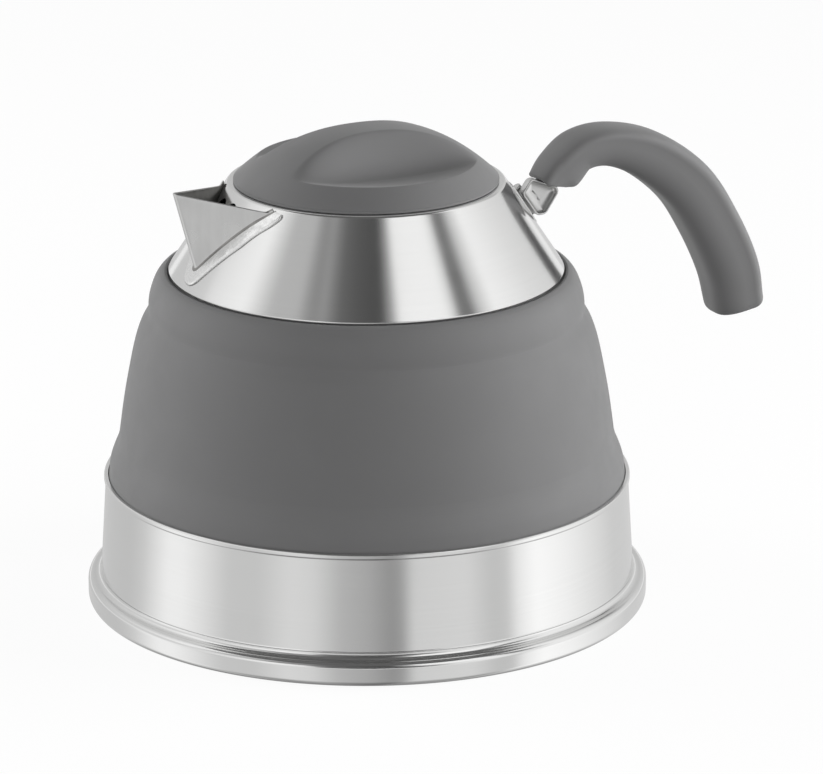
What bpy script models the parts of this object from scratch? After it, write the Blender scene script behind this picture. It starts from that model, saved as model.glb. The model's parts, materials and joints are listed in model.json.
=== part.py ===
"""Collapsible camping kettle: steel heat base and pan, silicone body that folds, steel shoulder with
a spout, handle on a hinge, and a moulded lid.

Metres, +Z up. The origin is the middle of the underside, the spout points to -X and the handle to +X.
A turned outline is a list of (radius, height) pairs that runs down its outer side.
"""

import math

import bmesh
import bpy
from mathutils import Matrix, Vector

# Overall choices
GAP = 0.0003  # clearance between pieces that touch
OVERRUN = 0.003  # how far a cutter reaches past what it cuts
LARGE_STEPS = 36  # facets round the large turned pieces
SMALL_STEPS = 20  # facets round pins, rivets and the screw
MERGE = 0.00002  # merge distance of the turned meshes
EDGE_STEPS = 2  # facets of a rounded corner
SHARP_ANGLE = math.radians(35)  # edges that turn more than this are shaded sharp

# Heat base
RIM_RADIUS = 0.0906
RIM_HEIGHT = 0.0079
RIM_EDGE = 0.0013  # radius of the rim's edges
CAPSULE_WALL = 0.0008
COVE_HEIGHT = 0.0018  # rise of the capsule's inner edge against the band
COVE_WIDTH = 0.0012
HEAT_CORE_CHAMFER = 0.0010

# Pan
RIM_STEP = 0.0041  # how far the heat base stands out past the pan's foot
PAN_SINK = 0.0013  # how far the pan's floor lies below the rim's top
PAN_LEAN = 0.0021  # how much the pan's wall leans in towards its top
PAN_TOP_HEIGHT = 0.0414
PAN_WALL = 0.0008
PAN_CORNER = 0.0035
BEAD_HEIGHT = 0.0014  # bead at the pan's upper edge
BEAD_OVERHANG = 0.0005

# Silicone body
SILICONE_WALL = 0.0022
FOOT_WALL = 0.0036
FOOT_DEPTH = 0.0075  # how far the foot reaches down into the pan
LOW_CREASE_RADIUS = 0.0797
HIGH_CREASE_RADIUS = 0.0698
CREASE_HEIGHT_SHARES = (0.195, 0.805)  # of the way up from the pan's top to the cone's foot
HEAD_WALL = 0.0030
HEAD_DEPTH = 0.0045  # how far the head reaches up inside the cone
SHOULDER_STEP = 0.0013  # how far the silicone stands out under the cone's edge

# How a tier runs between its lower and its upper radius: (share of the way in, share of the way up)
LOW_TIER_SHARES = ((0.0, 0.0), (0.14, 0.32), (0.46, 0.58), (0.80, 0.80), (1.0, 1.0))
MIDDLE_TIER_SHARES = (
    (0.0, 0.0),
    (0.05, 0.09),
    (0.19, 0.32),
    (0.42, 0.61),
    (0.575, 0.77),
    (0.74, 0.885),
    (0.91, 0.96),
    (1.0, 1.0),
)
HIGH_TIER_SHARES = ((0.0, 0.0), (0.04, 0.30), (0.19, 0.55), (0.43, 0.79), (0.74, 0.95), (1.0, 1.0))

# Clamp rings
CLAMP_WALL = 0.0010

# Shoulder cone and mouth
CONE_FOOT_RADIUS = 0.0632
CONE_HEIGHT = 0.0290
CONE_LIP = 0.0016  # upright lip at the cone's lower edge
CONE_TOP_RADIUS = 0.0442
CONE_TOP_HEIGHT = 0.1380
CONE_WALL = 0.0008
CONE_EDGE = 0.0012
MOUTH_INSET = 0.0060  # from the cone's upper radius in to the mouth
COLLAR_DEPTH = 0.0090

# Spout
SPOUT_RISE = 0.0032  # how far the tip stands above the cone
SPOUT_KEEL_DROP = 0.0228  # from the cone's top down to the foot of the keel
SPOUT_KEEL_LEAN = 0.0074  # how far the keel leans out from its foot to the tip
SPOUT_CORNER_DROP = 0.0008  # from the cone's top down to where the brim ends
SPOUT_CORNER_STEP = 0.0004  # how far the brim's ends stand off the cone
SPOUT_HALF_WIDTH = 0.0178
SPOUT_WALL = 0.0008
KEEL_ROUND = 0.0020
FLANGE_WIDTH = 0.0036
FLANGE_WALL = 0.0007

# Pour holes: rows behind the spout, the widest on top and each lower one a hole shorter
POUR_HOLE_RADIUS = 0.0033
POUR_HOLE_PITCH = 0.0084  # between holes in a row
POUR_ROW_PITCH = 0.0068  # height between rows
POUR_TOP_DROP = 0.0052  # from the cone's top down to the top row
POUR_ROWS = 3

# Handle hinge, whose pin lies along the slope of the cone, behind the bracket
HINGE_DROP = 0.01575  # from the cone's top down to the middle of the hinge
KNUCKLE_RADIUS = 0.0016
PIN_RADIUS = 0.0009
PIN_HEAD_RADIUS = 0.0015
PIN_HEAD = 0.0006
HINGE_LENGTH = 0.0100
FIXED_KNUCKLE = 0.0032
PLATE_WALL = 0.0010
PLATE_HALF_WIDTH = 0.0056
PLATE_ABOVE = 0.0120  # from the middle of the hinge to the plate's upper end
PLATE_BELOW = 0.0056
PLATE_CORNER = 0.0024

# Bracket: corners of its tray in the hinge's own frame, out from the pin and up along it
TRAY_DEPTH = 0.0030
TRAY_FLOOR = 0.0010
TRAY_RIM = 0.0009
TRAY_INSIDE = -0.00095  # where the tray's inner edge lies, beside the pin
TRAY_EDGE_HALF = 0.0049  # half the length of that edge
TRAY_CORNERS = (
    (TRAY_INSIDE, -TRAY_EDGE_HALF),
    (0.0019, -0.0066),
    (0.0111, -0.0031),
    (0.0046, 0.0069),
    (TRAY_INSIDE, TRAY_EDGE_HALF),
)
TRAY_ROOT = (2, 3)  # the corners between which the grip butts on
GRIP_ROOT_OFFSET = 0.0018  # from the middle of that edge towards its lower end
TANG_WIDTH = 0.0046
TANG_LENGTH = 0.0190
TANG_AIM_SHARE = 0.24  # where along the grip's middle line the tang points
RIVET_RADIUS = 0.0013
RIVET_SPACING = 0.0085
RIVET_INSET = 0.0070

# Grip: middle line from the bracket on, outwards and upwards from where the hinge sits on the cone;
# thickness is in the handle's plane
GRIP_LINE = (
    (0.0148, 0.0108),
    (0.0214, 0.0164),
    (0.0321, 0.0177),
    (0.0459, 0.0129),
    (0.0599, 0.0020),
    (0.0700, -0.0126),
    (0.0771, -0.0278),
    (0.0798, -0.0398),
)
GRIP_THICKNESS = 0.0160
GRIP_WIDTH = 0.0244
GRIP_THICKNESS_SHARES = (0.66, 0.80, 0.75, 0.73, 0.85, 0.98, 1.05, 1.07, 1.03)
GRIP_WIDTH_SHARES = (0.60, 0.68, 0.78, 0.82, 0.86, 0.94, 1.0, 1.0, 0.96)
# How the rounded end closes: (share of its length, share of the section)
GRIP_END_SHARES = ((0.0, 1.0), (0.50, 0.955), (0.85, 0.84), (1.0, 0.62))
GRIP_END_ROUND = 0.0040  # length of the rounded end
GRIP_ROOT_SHARE = 0.14  # over this much of the grip its sections turn square to its middle line
GRIP_STATIONS = 20
GRIP_SIDES = 16
GRIP_SQUARENESS = 2.5  # 2 is an ellipse, more is squarer
CORE_THICKNESS = 0.0086
CORE_WIDTH = 0.0072
CORE_START_SHARE = 0.11
CORE_END_SHARE = 0.86
CORE_STATIONS = 12
CORE_SIDES = 8

# Lid
LID_INSET = 0.0019  # from the cone's upper radius in to the lid's edge
LID_EDGE = 0.0011  # height of the lid's upright edge
LID_RISE = 0.0162  # rise of the dome over its edge
LID_DOME_POWER = 2.4  # 2 is a parabola, more is flatter on top and steeper at the edge
LID_DOME_STEPS = 8
LID_POCKET_INSET = 0.0018  # from the mouth's radius in to the pocket's wall
LID_POCKET_DEPTH = 0.0036
SCOOP_INSET = 0.0073  # from the lid's edge in to the edge of a scoop
RIDGE_HALF_WIDTH = 0.0074
SCOOP_FLOOR_DEPTH = 0.0108  # from the top of the lid to the floor of a scoop
SCOOP_ROUND = 0.0040
SCOOP_ARC_STEPS = 18
LID_BOSS_RADIUS = 0.0044
RIDGE_HOLLOW_HALF_WIDTH = 0.0054
RIDGE_HOLLOW_START = 0.0056
RIDGE_HOLLOW_END = 0.0190
RIDGE_ROOF = 0.0062  # from the top of the lid to the roof of the hollows
PLUG_CLEARANCE = 0.0032  # between the plug and the mouth, which the seal fills
PLUG_WALL = 0.0012
PLUG_FLANGE_WALL = 0.0010
PLUG_DEPTH = 0.0076  # from the lid's seat down to the plug's underside
GROOVE_DEPTH = 0.0014
GROOVE_WIDTH = 0.0038
GROOVE_LAND = 0.0012  # plug below the groove
SCREW_RADIUS = 0.0015
SCREW_HEAD_RADIUS = 0.0034
SCREW_HEAD = 0.0018
SCREW_BITE = 0.0120  # how far the screw reaches into the boss
WASHER_RADIUS = 0.0048
WASHER_WALL = 0.0006

# Sizes that follow from the ones above
PAN_FLOOR = RIM_HEIGHT - PAN_SINK
PAN_FOOT_RADIUS = RIM_RADIUS - RIM_STEP
PAN_TOP_RADIUS = PAN_FOOT_RADIUS - PAN_LEAN
CONE_FOOT_HEIGHT = CONE_TOP_HEIGHT - CONE_HEIGHT
CONE_SLOPE = math.atan2(CONE_FOOT_RADIUS - CONE_TOP_RADIUS, CONE_TOP_HEIGHT - CONE_FOOT_HEIGHT - CONE_LIP)
CONE_SHEET_RUN = CONE_WALL / math.cos(CONE_SLOPE)  # the cone's wall measured level
PIN_OFFSET = GAP + PLATE_WALL + GAP + KNUCKLE_RADIUS  # from the cone to the pin's axis
PIN_BEHIND = GAP + KNUCKLE_RADIUS  # from the tray's back to the pin's axis
HINGE_HEIGHT = CONE_TOP_HEIGHT - HINGE_DROP
MOUTH_RADIUS = CONE_TOP_RADIUS - MOUTH_INSET
LID_RADIUS = CONE_TOP_RADIUS - LID_INSET
LID_POCKET_RADIUS = MOUTH_RADIUS - LID_POCKET_INSET
SCOOP_RADIUS = LID_RADIUS - SCOOP_INSET
PLUG_RADIUS = MOUTH_RADIUS - PLUG_CLEARANCE
LID_SEAT = CONE_TOP_HEIGHT + GAP
LID_TOP = LID_SEAT + LID_EDGE + LID_RISE
SCOOP_FLOOR = LID_TOP - SCOOP_FLOOR_DEPTH
PLUG_UNDERSIDE = CONE_TOP_HEIGHT - PLUG_DEPTH


def cone_radius(height):
    """Outer radius of the cone's straight slope at a height."""
    return CONE_TOP_RADIUS + (CONE_TOP_HEIGHT - height) * math.tan(CONE_SLOPE)


def clear_scene():
    for old in list(bpy.data.objects):
        bpy.data.objects.remove(old, do_unlink=True)


def new_collection(name):
    made = bpy.data.collections.new(name)
    bpy.context.scene.collection.children.link(made)
    return made


clear_scene()
KETTLE = new_collection("collapsible_kettle")
CUTTERS = new_collection("cutters")


def material(name, colour, roughness, metallic):
    made = bpy.data.materials.new(name)
    made.use_nodes = True
    shader = made.node_tree.nodes["Principled BSDF"]
    shader.inputs["Base Color"].default_value = (*colour, 1.0)
    shader.inputs["Roughness"].default_value = roughness
    shader.inputs["Metallic"].default_value = metallic
    return made


POLISHED = material("polished_steel", (0.80, 0.80, 0.80), 0.12, 1.0)
SATIN = material("satin_steel", (0.70, 0.70, 0.70), 0.32, 1.0)
INNER_STEEL = material("inner_steel", (0.62, 0.62, 0.61), 0.38, 1.0)
ALUMINIUM = material("aluminium", (0.77, 0.77, 0.78), 0.40, 1.0)
SILICONE = material("grey_silicone", (0.135, 0.135, 0.135), 0.55, 0.0)
MOULDING = material("grey_moulding", (0.150, 0.150, 0.150), 0.48, 0.0)
CORE_NYLON = material("core_nylon", (0.05, 0.05, 0.05), 0.60, 0.0)
SEAL_SILICONE = material("seal_silicone", (0.55, 0.55, 0.55), 0.60, 0.0)


def place(name, mesh, finish, frame=None):
    """Put a mesh in the kettle's collection, under a frame when it has one."""
    mesh.shade_smooth()
    mesh.set_sharp_from_angle(angle=SHARP_ANGLE)
    made = bpy.data.objects.new(name, mesh)
    KETTLE.objects.link(made)
    made.data.materials.append(finish)
    made.parent = frame
    return made


def as_cutter(made):
    """Move an object from the kettle to the cutters."""
    for home in list(made.users_collection):
        home.objects.unlink(made)
    CUTTERS.objects.link(made)
    made.hide_render = True
    made.display_type = "WIRE"
    return made


def boolean(target, cutter, operation):
    step = target.modifiers.new(cutter.name + "_" + operation.lower(), "BOOLEAN")
    step.object = cutter
    step.operation = operation
    step.solver = "EXACT"


def cut(target, cutter):
    boolean(target, cutter, "DIFFERENCE")


def join(target, cutter):
    boolean(target, cutter, "UNION")


def keep_inside(target, cutter):
    boolean(target, cutter, "INTERSECT")


def rounded(corners):
    """Outline from corners (radius, height, rounding): each rounding above zero becomes an arc."""
    outline = []
    count = len(corners)
    for k, corner in enumerate(corners):
        here = Vector(corner[:2])
        rounding = corner[2]
        if rounding == 0:
            outline.append(tuple(here))
            continue
        before = (Vector(corners[k - 1][:2]) - here).normalized()
        after = (Vector(corners[(k + 1) % count][:2]) - here).normalized()
        half = math.acos(max(-1.0, min(1.0, before.dot(after)))) / 2
        middle = here + (before + after).normalized() * rounding / math.sin(half)
        start = here + before * rounding / math.tan(half) - middle
        end = here + after * rounding / math.tan(half) - middle
        sweep = start.angle_signed(end)
        for step in range(EDGE_STEPS + 1):
            turn = Matrix.Rotation(-sweep * step / EDGE_STEPS, 2)
            outline.append(tuple(middle + turn @ start))
    return outline


def turned_mesh(name, outline, closed):
    """Outline as a line of edges; one that starts and ends on the axis needs no closing edge."""
    mesh = bpy.data.meshes.new(name)
    count = len(outline)
    links = [(k, k + 1) for k in range(count - 1)]
    if closed and (outline[0][0] > 0 or outline[-1][0] > 0):
        links.append((count - 1, 0))
    mesh.from_pydata([(radius, 0, height) for radius, height in outline], links, [])
    return mesh


def add_screw(made, steps):
    spin = made.modifiers.new("turn", "SCREW")
    spin.steps = steps
    spin.render_steps = steps
    spin.use_merge_vertices = True
    spin.merge_threshold = MERGE
    spin.use_smooth_shade = True


def turned(name, outline, finish, steps=LARGE_STEPS, closed=True, frame=None):
    """Solid of revolution from an outline that runs down its outer side."""
    made = place(name, turned_mesh(name, outline, closed), finish, frame)
    add_screw(made, steps)
    return made


def turned_shell(name, path, wall, finish):
    """Sheet of revolution: the path is its seen side, and the wall lies behind it."""
    made = turned(name, path, finish, closed=False)
    sheet = made.modifiers.new("wall", "SOLIDIFY")
    sheet.thickness = wall
    sheet.offset = -1
    sheet.use_even_offset = True
    return made


def slab(name, outline, low, high, finish, frame=None):
    """Flat outline in X and Y made a solid from one height to another."""
    curve = bpy.data.curves.new(name, "CURVE")
    curve.dimensions = "2D"
    curve.fill_mode = "BOTH"
    curve.extrude = (high - low) / 2
    line = curve.splines.new("POLY")
    line.points.add(len(outline) - 1)
    for point, corner in zip(line.points, outline):
        point.co = (corner[0], corner[1], 0, 1)
    line.use_cyclic_u = True
    drawn = bpy.data.objects.new(name + "_drawn", curve)
    CUTTERS.objects.link(drawn)
    bpy.context.view_layer.update()
    ready = drawn.evaluated_get(bpy.context.evaluated_depsgraph_get())
    mesh = bpy.data.meshes.new_from_object(ready)
    bpy.data.objects.remove(drawn, do_unlink=True)
    mesh.transform(Matrix.Translation((0, 0, (low + high) / 2)))
    shape = bmesh.new()
    shape.from_mesh(mesh)
    bmesh.ops.remove_doubles(shape, verts=shape.verts, dist=MERGE)
    bmesh.ops.recalc_face_normals(shape, faces=shape.faces)
    shape.to_mesh(mesh)
    shape.free()
    return place(name, mesh, finish, frame)


def block(name, low, high, finish, frame=None):
    """Box between two corners."""
    shape = bmesh.new()
    bmesh.ops.create_cube(shape, size=1)
    size = Vector(high) - Vector(low)
    middle = (Vector(high) + Vector(low)) / 2
    bmesh.ops.scale(shape, vec=size, verts=shape.verts)
    bmesh.ops.translate(shape, vec=middle, verts=shape.verts)
    mesh = bpy.data.meshes.new(name)
    shape.to_mesh(mesh)
    shape.free()
    return place(name, mesh, finish, frame)


def rod(name, radius, low, high, finish, frame=None, steps=SMALL_STEPS):
    """Cylinder round its frame's Z axis between two heights."""
    shape = bmesh.new()
    bmesh.ops.create_cone(
        shape, cap_ends=True, segments=steps, radius1=radius, radius2=radius, depth=high - low
    )
    bmesh.ops.translate(shape, vec=(0, 0, (low + high) / 2), verts=shape.verts)
    mesh = bpy.data.meshes.new(name)
    shape.to_mesh(mesh)
    shape.free()
    return place(name, mesh, finish, frame)


def frame_at(name, matrix):
    """Empty that carries pieces, such as those on a joint's axis."""
    made = bpy.data.objects.new(name, None)
    KETTLE.objects.link(made)
    made.matrix_world = matrix
    return made


def cone_solid(name, offset, low, high, finish):
    """Solid cone that stands off the shoulder by an offset measured level."""
    outline = [(0, high), (cone_radius(high) + offset, high), (cone_radius(low) + offset, low), (0, low)]
    return as_cutter(turned(name, outline, finish))


def cone_skin(name, inner, outer, low, high, finish):
    """Ring that lies on the shoulder between two offsets measured square to its slope."""
    near = inner / math.cos(CONE_SLOPE)
    far = outer / math.cos(CONE_SLOPE)
    outline = [
        (cone_radius(high) + far, high),
        (cone_radius(low) + far, low),
        (cone_radius(low) + near, low),
        (cone_radius(high) + near, high),
    ]
    return turned(name, outline, finish)


def tier(low_radius, low_height, high_radius, high_height, shares):
    """Points of one tier of the silicone, bottom to top."""
    return [
        (low_radius + (high_radius - low_radius) * inward, low_height + (high_height - low_height) * upward)
        for inward, upward in shares
    ]


def heat_base():
    seat = PAN_FOOT_RADIUS + GAP
    inside = RIM_RADIUS - CAPSULE_WALL
    under_rim = PAN_FLOOR - CAPSULE_WALL
    capsule = [
        (0, CAPSULE_WALL, 0),
        (inside, CAPSULE_WALL, 0),
        (inside, under_rim, 0),
        (seat, under_rim, 0),
        (seat, RIM_HEIGHT + COVE_HEIGHT, 0),
        (seat + COVE_WIDTH, RIM_HEIGHT, COVE_WIDTH / 2),
        (RIM_RADIUS, RIM_HEIGHT, RIM_EDGE),
        (RIM_RADIUS, 0, RIM_EDGE),
        (0, 0, 0),
    ]
    turned("base_capsule", rounded(capsule), POLISHED)
    floor = CAPSULE_WALL + GAP
    core_radius = inside - GAP
    core = [
        (0, PAN_FLOOR - GAP),
        (seat - GAP, PAN_FLOOR - GAP),
        (seat - GAP, under_rim - GAP),
        (core_radius, under_rim - GAP),
        (core_radius, floor + HEAT_CORE_CHAMFER),
        (core_radius - HEAT_CORE_CHAMFER, floor),
        (0, floor),
    ]
    turned("heat_core", core, ALUMINIUM)


def pan_inner_radius(height):
    """Inner radius of the pan's wall, which leans in towards its top."""
    share = (height - PAN_FLOOR) / (PAN_TOP_HEIGHT - PAN_FLOOR)
    return PAN_FOOT_RADIUS + (PAN_TOP_RADIUS - PAN_FOOT_RADIUS) * share - PAN_WALL


def pan():
    top = PAN_TOP_HEIGHT
    outline = [
        (0, PAN_FLOOR + PAN_WALL, 0),
        (pan_inner_radius(PAN_FLOOR), PAN_FLOOR + PAN_WALL, PAN_CORNER),
        (pan_inner_radius(top), top, 0),
        (PAN_TOP_RADIUS + BEAD_OVERHANG, top, BEAD_OVERHANG),
        (PAN_TOP_RADIUS + BEAD_OVERHANG, top - BEAD_HEIGHT, BEAD_OVERHANG / 2),
        (PAN_TOP_RADIUS, top - BEAD_HEIGHT, 0),
        (PAN_FOOT_RADIUS, PAN_FLOOR, PAN_WALL),
        (0, PAN_FLOOR, 0),
    ]
    turned("base_pan", rounded(outline), POLISHED)


def silicone_body():
    foot_top = PAN_TOP_HEIGHT
    foot_low = foot_top - FOOT_DEPTH
    foot_radius = pan_inner_radius(foot_top) - GAP
    ledge = CONE_FOOT_HEIGHT - GAP
    edge_radius = CONE_FOOT_RADIUS + SHOULDER_STEP
    head_radius = CONE_FOOT_RADIUS - CONE_SHEET_RUN - GAP
    head_low = CONE_FOOT_HEIGHT + CONE_LIP
    head_top = head_low + HEAD_DEPTH
    head_top_radius = cone_radius(head_top) - CONE_SHEET_RUN - GAP
    rise = CONE_FOOT_HEIGHT - foot_top
    low_crease, high_crease = (foot_top + rise * share for share in CREASE_HEIGHT_SHARES)
    low = tier(foot_radius, foot_top, LOW_CREASE_RADIUS, low_crease, LOW_TIER_SHARES)
    middle = tier(LOW_CREASE_RADIUS, low_crease, HIGH_CREASE_RADIUS, high_crease, MIDDLE_TIER_SHARES)
    high = tier(HIGH_CREASE_RADIUS, high_crease, edge_radius, ledge, HIGH_TIER_SHARES)
    wall = low[:-1] + middle[:-1] + high
    outer = [(head_top_radius, head_top), (head_radius, head_low), (head_radius, ledge)]
    outer += list(reversed(wall))
    outer += [(foot_radius, foot_low)]
    inner = [(foot_radius - FOOT_WALL, foot_low), (foot_radius - FOOT_WALL, foot_top)]
    thin = [(radius - SILICONE_WALL, height) for radius, height in wall[1:-2]]
    inner += thin
    neck = ledge - SILICONE_WALL
    inner += [(head_radius - HEAD_WALL, neck), (head_radius - HEAD_WALL, head_low)]
    inner += [(head_top_radius - HEAD_WALL, head_top)]
    turned("silicone_body", outer + inner, SILICONE)
    return foot_radius - FOOT_WALL - GAP, head_radius - HEAD_WALL - GAP


def clamp_rings(low_radius, high_radius):
    top = PAN_TOP_HEIGHT
    foot = top - FOOT_DEPTH
    flange_radius = pan_inner_radius(foot - GAP - CLAMP_WALL) - GAP
    lower = [
        (low_radius, top),
        (low_radius, foot - GAP),
        (flange_radius, foot - GAP),
        (flange_radius, foot - GAP - CLAMP_WALL),
        (low_radius - CLAMP_WALL, foot - GAP - CLAMP_WALL),
        (low_radius - CLAMP_WALL, top),
    ]
    turned("lower_clamp_ring", lower, INNER_STEEL)
    low = CONE_FOOT_HEIGHT - GAP - SILICONE_WALL
    head_low = CONE_FOOT_HEIGHT + CONE_LIP
    head_top = head_low + HEAD_DEPTH
    slope_in = HEAD_DEPTH * math.tan(CONE_SLOPE)
    flange = head_top + GAP
    high_edge = cone_radius(flange + CLAMP_WALL) - CONE_SHEET_RUN - GAP
    upper = [
        (high_edge, flange + CLAMP_WALL),
        (high_edge, flange),
        (high_radius - slope_in, flange),
        (high_radius - slope_in, head_top),
        (high_radius, head_low),
        (high_radius, low),
        (high_radius - CLAMP_WALL, low),
        (high_radius - CLAMP_WALL, head_low),
        (high_radius - slope_in - CLAMP_WALL, head_top),
        (high_radius - slope_in - CLAMP_WALL, flange + CLAMP_WALL),
    ]
    turned("upper_clamp_ring", upper, INNER_STEEL)


def pour_hole_cutters():
    """Rows of round holes behind the spout, one fewer in each row down, joined into one cutter mesh."""
    shape = bmesh.new()
    for row in range(POUR_ROWS):
        height = CONE_TOP_HEIGHT - POUR_TOP_DROP - row * POUR_ROW_PITCH
        count = POUR_ROWS - row
        for k in range(count):
            across = (k - (count - 1) / 2) * POUR_HOLE_PITCH
            depth = 2 * (CONE_FOOT_RADIUS - CONE_TOP_RADIUS)
            made = bmesh.ops.create_cone(
                shape,
                cap_ends=True,
                segments=SMALL_STEPS,
                radius1=POUR_HOLE_RADIUS,
                radius2=POUR_HOLE_RADIUS,
                depth=depth,
            )
            lean = Matrix.Rotation(CONE_SLOPE - math.pi / 2, 4, "Y")
            here = Matrix.Translation((-cone_radius(height), across, height))
            bmesh.ops.transform(shape, matrix=here @ lean, verts=made["verts"])
    mesh = bpy.data.meshes.new("pour_holes")
    shape.to_mesh(mesh)
    shape.free()
    return as_cutter(place("pour_holes", mesh, INNER_STEEL))


def shoulder():
    path = [
        (MOUTH_RADIUS, CONE_TOP_HEIGHT - COLLAR_DEPTH, 0),
        (MOUTH_RADIUS, CONE_TOP_HEIGHT, CONE_EDGE),
        (CONE_TOP_RADIUS, CONE_TOP_HEIGHT, CONE_EDGE),
        (CONE_FOOT_RADIUS, CONE_FOOT_HEIGHT + CONE_LIP, 0),
        (CONE_FOOT_RADIUS, CONE_FOOT_HEIGHT, 0),
    ]
    cone = turned_shell("shoulder_cone", rounded(path), CONE_WALL, POLISHED)
    cut(cone, pour_hole_cutters())


def spout_outline(arm, outset, half_angle):
    """V with a rounded keel that opens along +X, filled in between its arms; the keel touches the origin."""
    along = Vector((math.cos(half_angle), math.sin(half_angle)))
    across = Vector((-math.sin(half_angle), math.cos(half_angle)))
    radius = KEEL_ROUND + outset
    middle = Vector((KEEL_ROUND, 0))
    upper = [middle + across * radius + along * arm]
    turns = 2 * EDGE_STEPS
    arc = []
    for step in range(turns + 1):
        angle = math.pi / 2 + half_angle + (math.pi - 2 * half_angle) * step / turns
        arc.append(middle + radius * Vector((math.cos(angle), math.sin(angle))))
    lower = [Vector((upper[0].x, -upper[0].y))]
    return [tuple(point) for point in upper + arc + lower]


def spout():
    keel_height = CONE_TOP_HEIGHT - SPOUT_KEEL_DROP
    tip_height = CONE_TOP_HEIGHT + SPOUT_RISE
    corner_height = CONE_TOP_HEIGHT - SPOUT_CORNER_DROP
    keel = Vector((-cone_radius(keel_height), 0, keel_height))
    tip = Vector((keel.x - SPOUT_KEEL_LEAN, 0, tip_height))
    corner_radius = cone_radius(corner_height) + SPOUT_CORNER_STEP
    out = math.sqrt(corner_radius**2 - SPOUT_HALF_WIDTH**2)
    corner = Vector((-out, SPOUT_HALF_WIDTH, corner_height))
    up = (tip - keel).normalized()
    inward = Vector((0, 1, 0)).cross(up)
    reach = corner - tip
    across_flats = Vector((reach.dot(inward) - KEEL_ROUND, reach.y))
    half_angle = math.atan2(across_flats.y, across_flats.x) - math.asin(KEEL_ROUND / across_flats.length)
    axes = Matrix((inward, (0, 1, 0), up)).transposed().to_4x4()
    frame = frame_at("spout_frame", Matrix.Translation(keel) @ axes)
    arm = reach.length + SPOUT_WALL
    low = -2 * (tip_height - keel_height)
    high = (tip - keel).length + OVERRUN
    outer = spout_outline(arm, 0, half_angle)
    inner = spout_outline(arm + OVERRUN, -SPOUT_WALL, half_angle)
    body = slab("spout", outer, low, high, SATIN, frame)
    hollow = as_cutter(slab("spout_hollow", inner, low - OVERRUN, high + OVERRUN, SATIN, frame))
    below = CONE_FOOT_HEIGHT - OVERRUN
    above = tip_height + OVERRUN
    clear = GAP / math.cos(CONE_SLOPE)
    wide = spout_outline(arm, FLANGE_WIDTH, half_angle)
    flange_low = CONE_FOOT_HEIGHT + CONE_LIP
    flange = as_cutter(
        cone_skin("spout_flange", -GAP, GAP + FLANGE_WALL, flange_low, CONE_TOP_HEIGHT, SATIN)
    )
    keep_inside(flange, as_cutter(slab("flange_edge", wide, low + OVERRUN, high - OVERRUN, SATIN, frame)))
    join(body, flange)
    cut(body, cone_solid("cone_clearance", clear, below - 2 * HEAD_DEPTH, above, SATIN))
    cut(body, hollow)
    lean = math.atan2(tip_height - corner_height, -tip.x - out)
    brim = frame_at("brim_frame", Matrix.Translation(tip) @ Matrix.Rotation(lean, 4, "Y"))
    far = -2 * tip.x
    over = as_cutter(block("brim_cut", (-far, -far, 0), (far, far, far), SATIN, brim))
    cut(body, over)
    low_cut = as_cutter(block("keel_cut", (-far, -far, -far), (far, far, below), SATIN))
    cut(body, low_cut)


def hinge_matrix():
    """Frame of the hinge: X out from the cone, Y across, Z up along the pin."""
    on_cone = Vector((cone_radius(HINGE_HEIGHT), 0, HINGE_HEIGHT))
    out = Vector((math.cos(CONE_SLOPE), 0, math.sin(CONE_SLOPE)))
    return Matrix.Translation(on_cone + out * PIN_OFFSET) @ Matrix.Rotation(-CONE_SLOPE, 4, "Y")


def hinge_plate(frame, pin_frame):
    """Plate on the cone with the fixed knuckle, and the pin; returns the cutter of the pin's bore."""
    high = HINGE_HEIGHT + PLATE_ABOVE + OVERRUN
    low = HINGE_HEIGHT - PLATE_BELOW - OVERRUN
    plate = cone_skin("handle_plate", GAP, GAP + PLATE_WALL, low, high, SATIN)
    corners = [
        (-PLATE_BELOW, -PLATE_HALF_WIDTH, PLATE_CORNER),
        (PLATE_ABOVE, -PLATE_HALF_WIDTH, PLATE_CORNER),
        (PLATE_ABOVE, PLATE_HALF_WIDTH, PLATE_CORNER),
        (-PLATE_BELOW, PLATE_HALF_WIDTH, PLATE_CORNER),
    ]
    outline = slab("plate_outline", rounded(corners), -2 * PIN_OFFSET, 2 * PIN_OFFSET, SATIN, frame)
    outline.rotation_euler = (0, -math.pi / 2, 0)
    keep_inside(plate, as_cutter(outline))
    half = FIXED_KNUCKLE / 2
    knuckle = as_cutter(rod("fixed_knuckle", KNUCKLE_RADIUS, -half, half, SATIN, pin_frame))
    sunk = PIN_OFFSET - GAP - PLATE_WALL / 2
    web = (-sunk, -KNUCKLE_RADIUS / 2, -half), (0, KNUCKLE_RADIUS / 2, half)
    join(plate, knuckle)
    join(plate, as_cutter(block("knuckle_web", *web, SATIN, pin_frame)))
    bore = as_cutter(rod("pin_bore", PIN_RADIUS + GAP, -HINGE_LENGTH, HINGE_LENGTH, SATIN, pin_frame))
    cut(plate, bore)
    end = HINGE_LENGTH / 2 + GAP
    pin = [
        (0, end + PIN_HEAD, 0),
        (PIN_HEAD_RADIUS, end + PIN_HEAD, PIN_HEAD / 2),
        (PIN_HEAD_RADIUS, end, 0),
        (PIN_RADIUS, end, 0),
        (PIN_RADIUS, -end, 0),
        (PIN_HEAD_RADIUS, -end, 0),
        (PIN_HEAD_RADIUS, -end - PIN_HEAD / 2, 0),
        (0, -end - PIN_HEAD / 2, 0),
    ]
    turned("hinge_pin", rounded(pin), SATIN, SMALL_STEPS, frame=pin_frame)
    return bore


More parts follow.
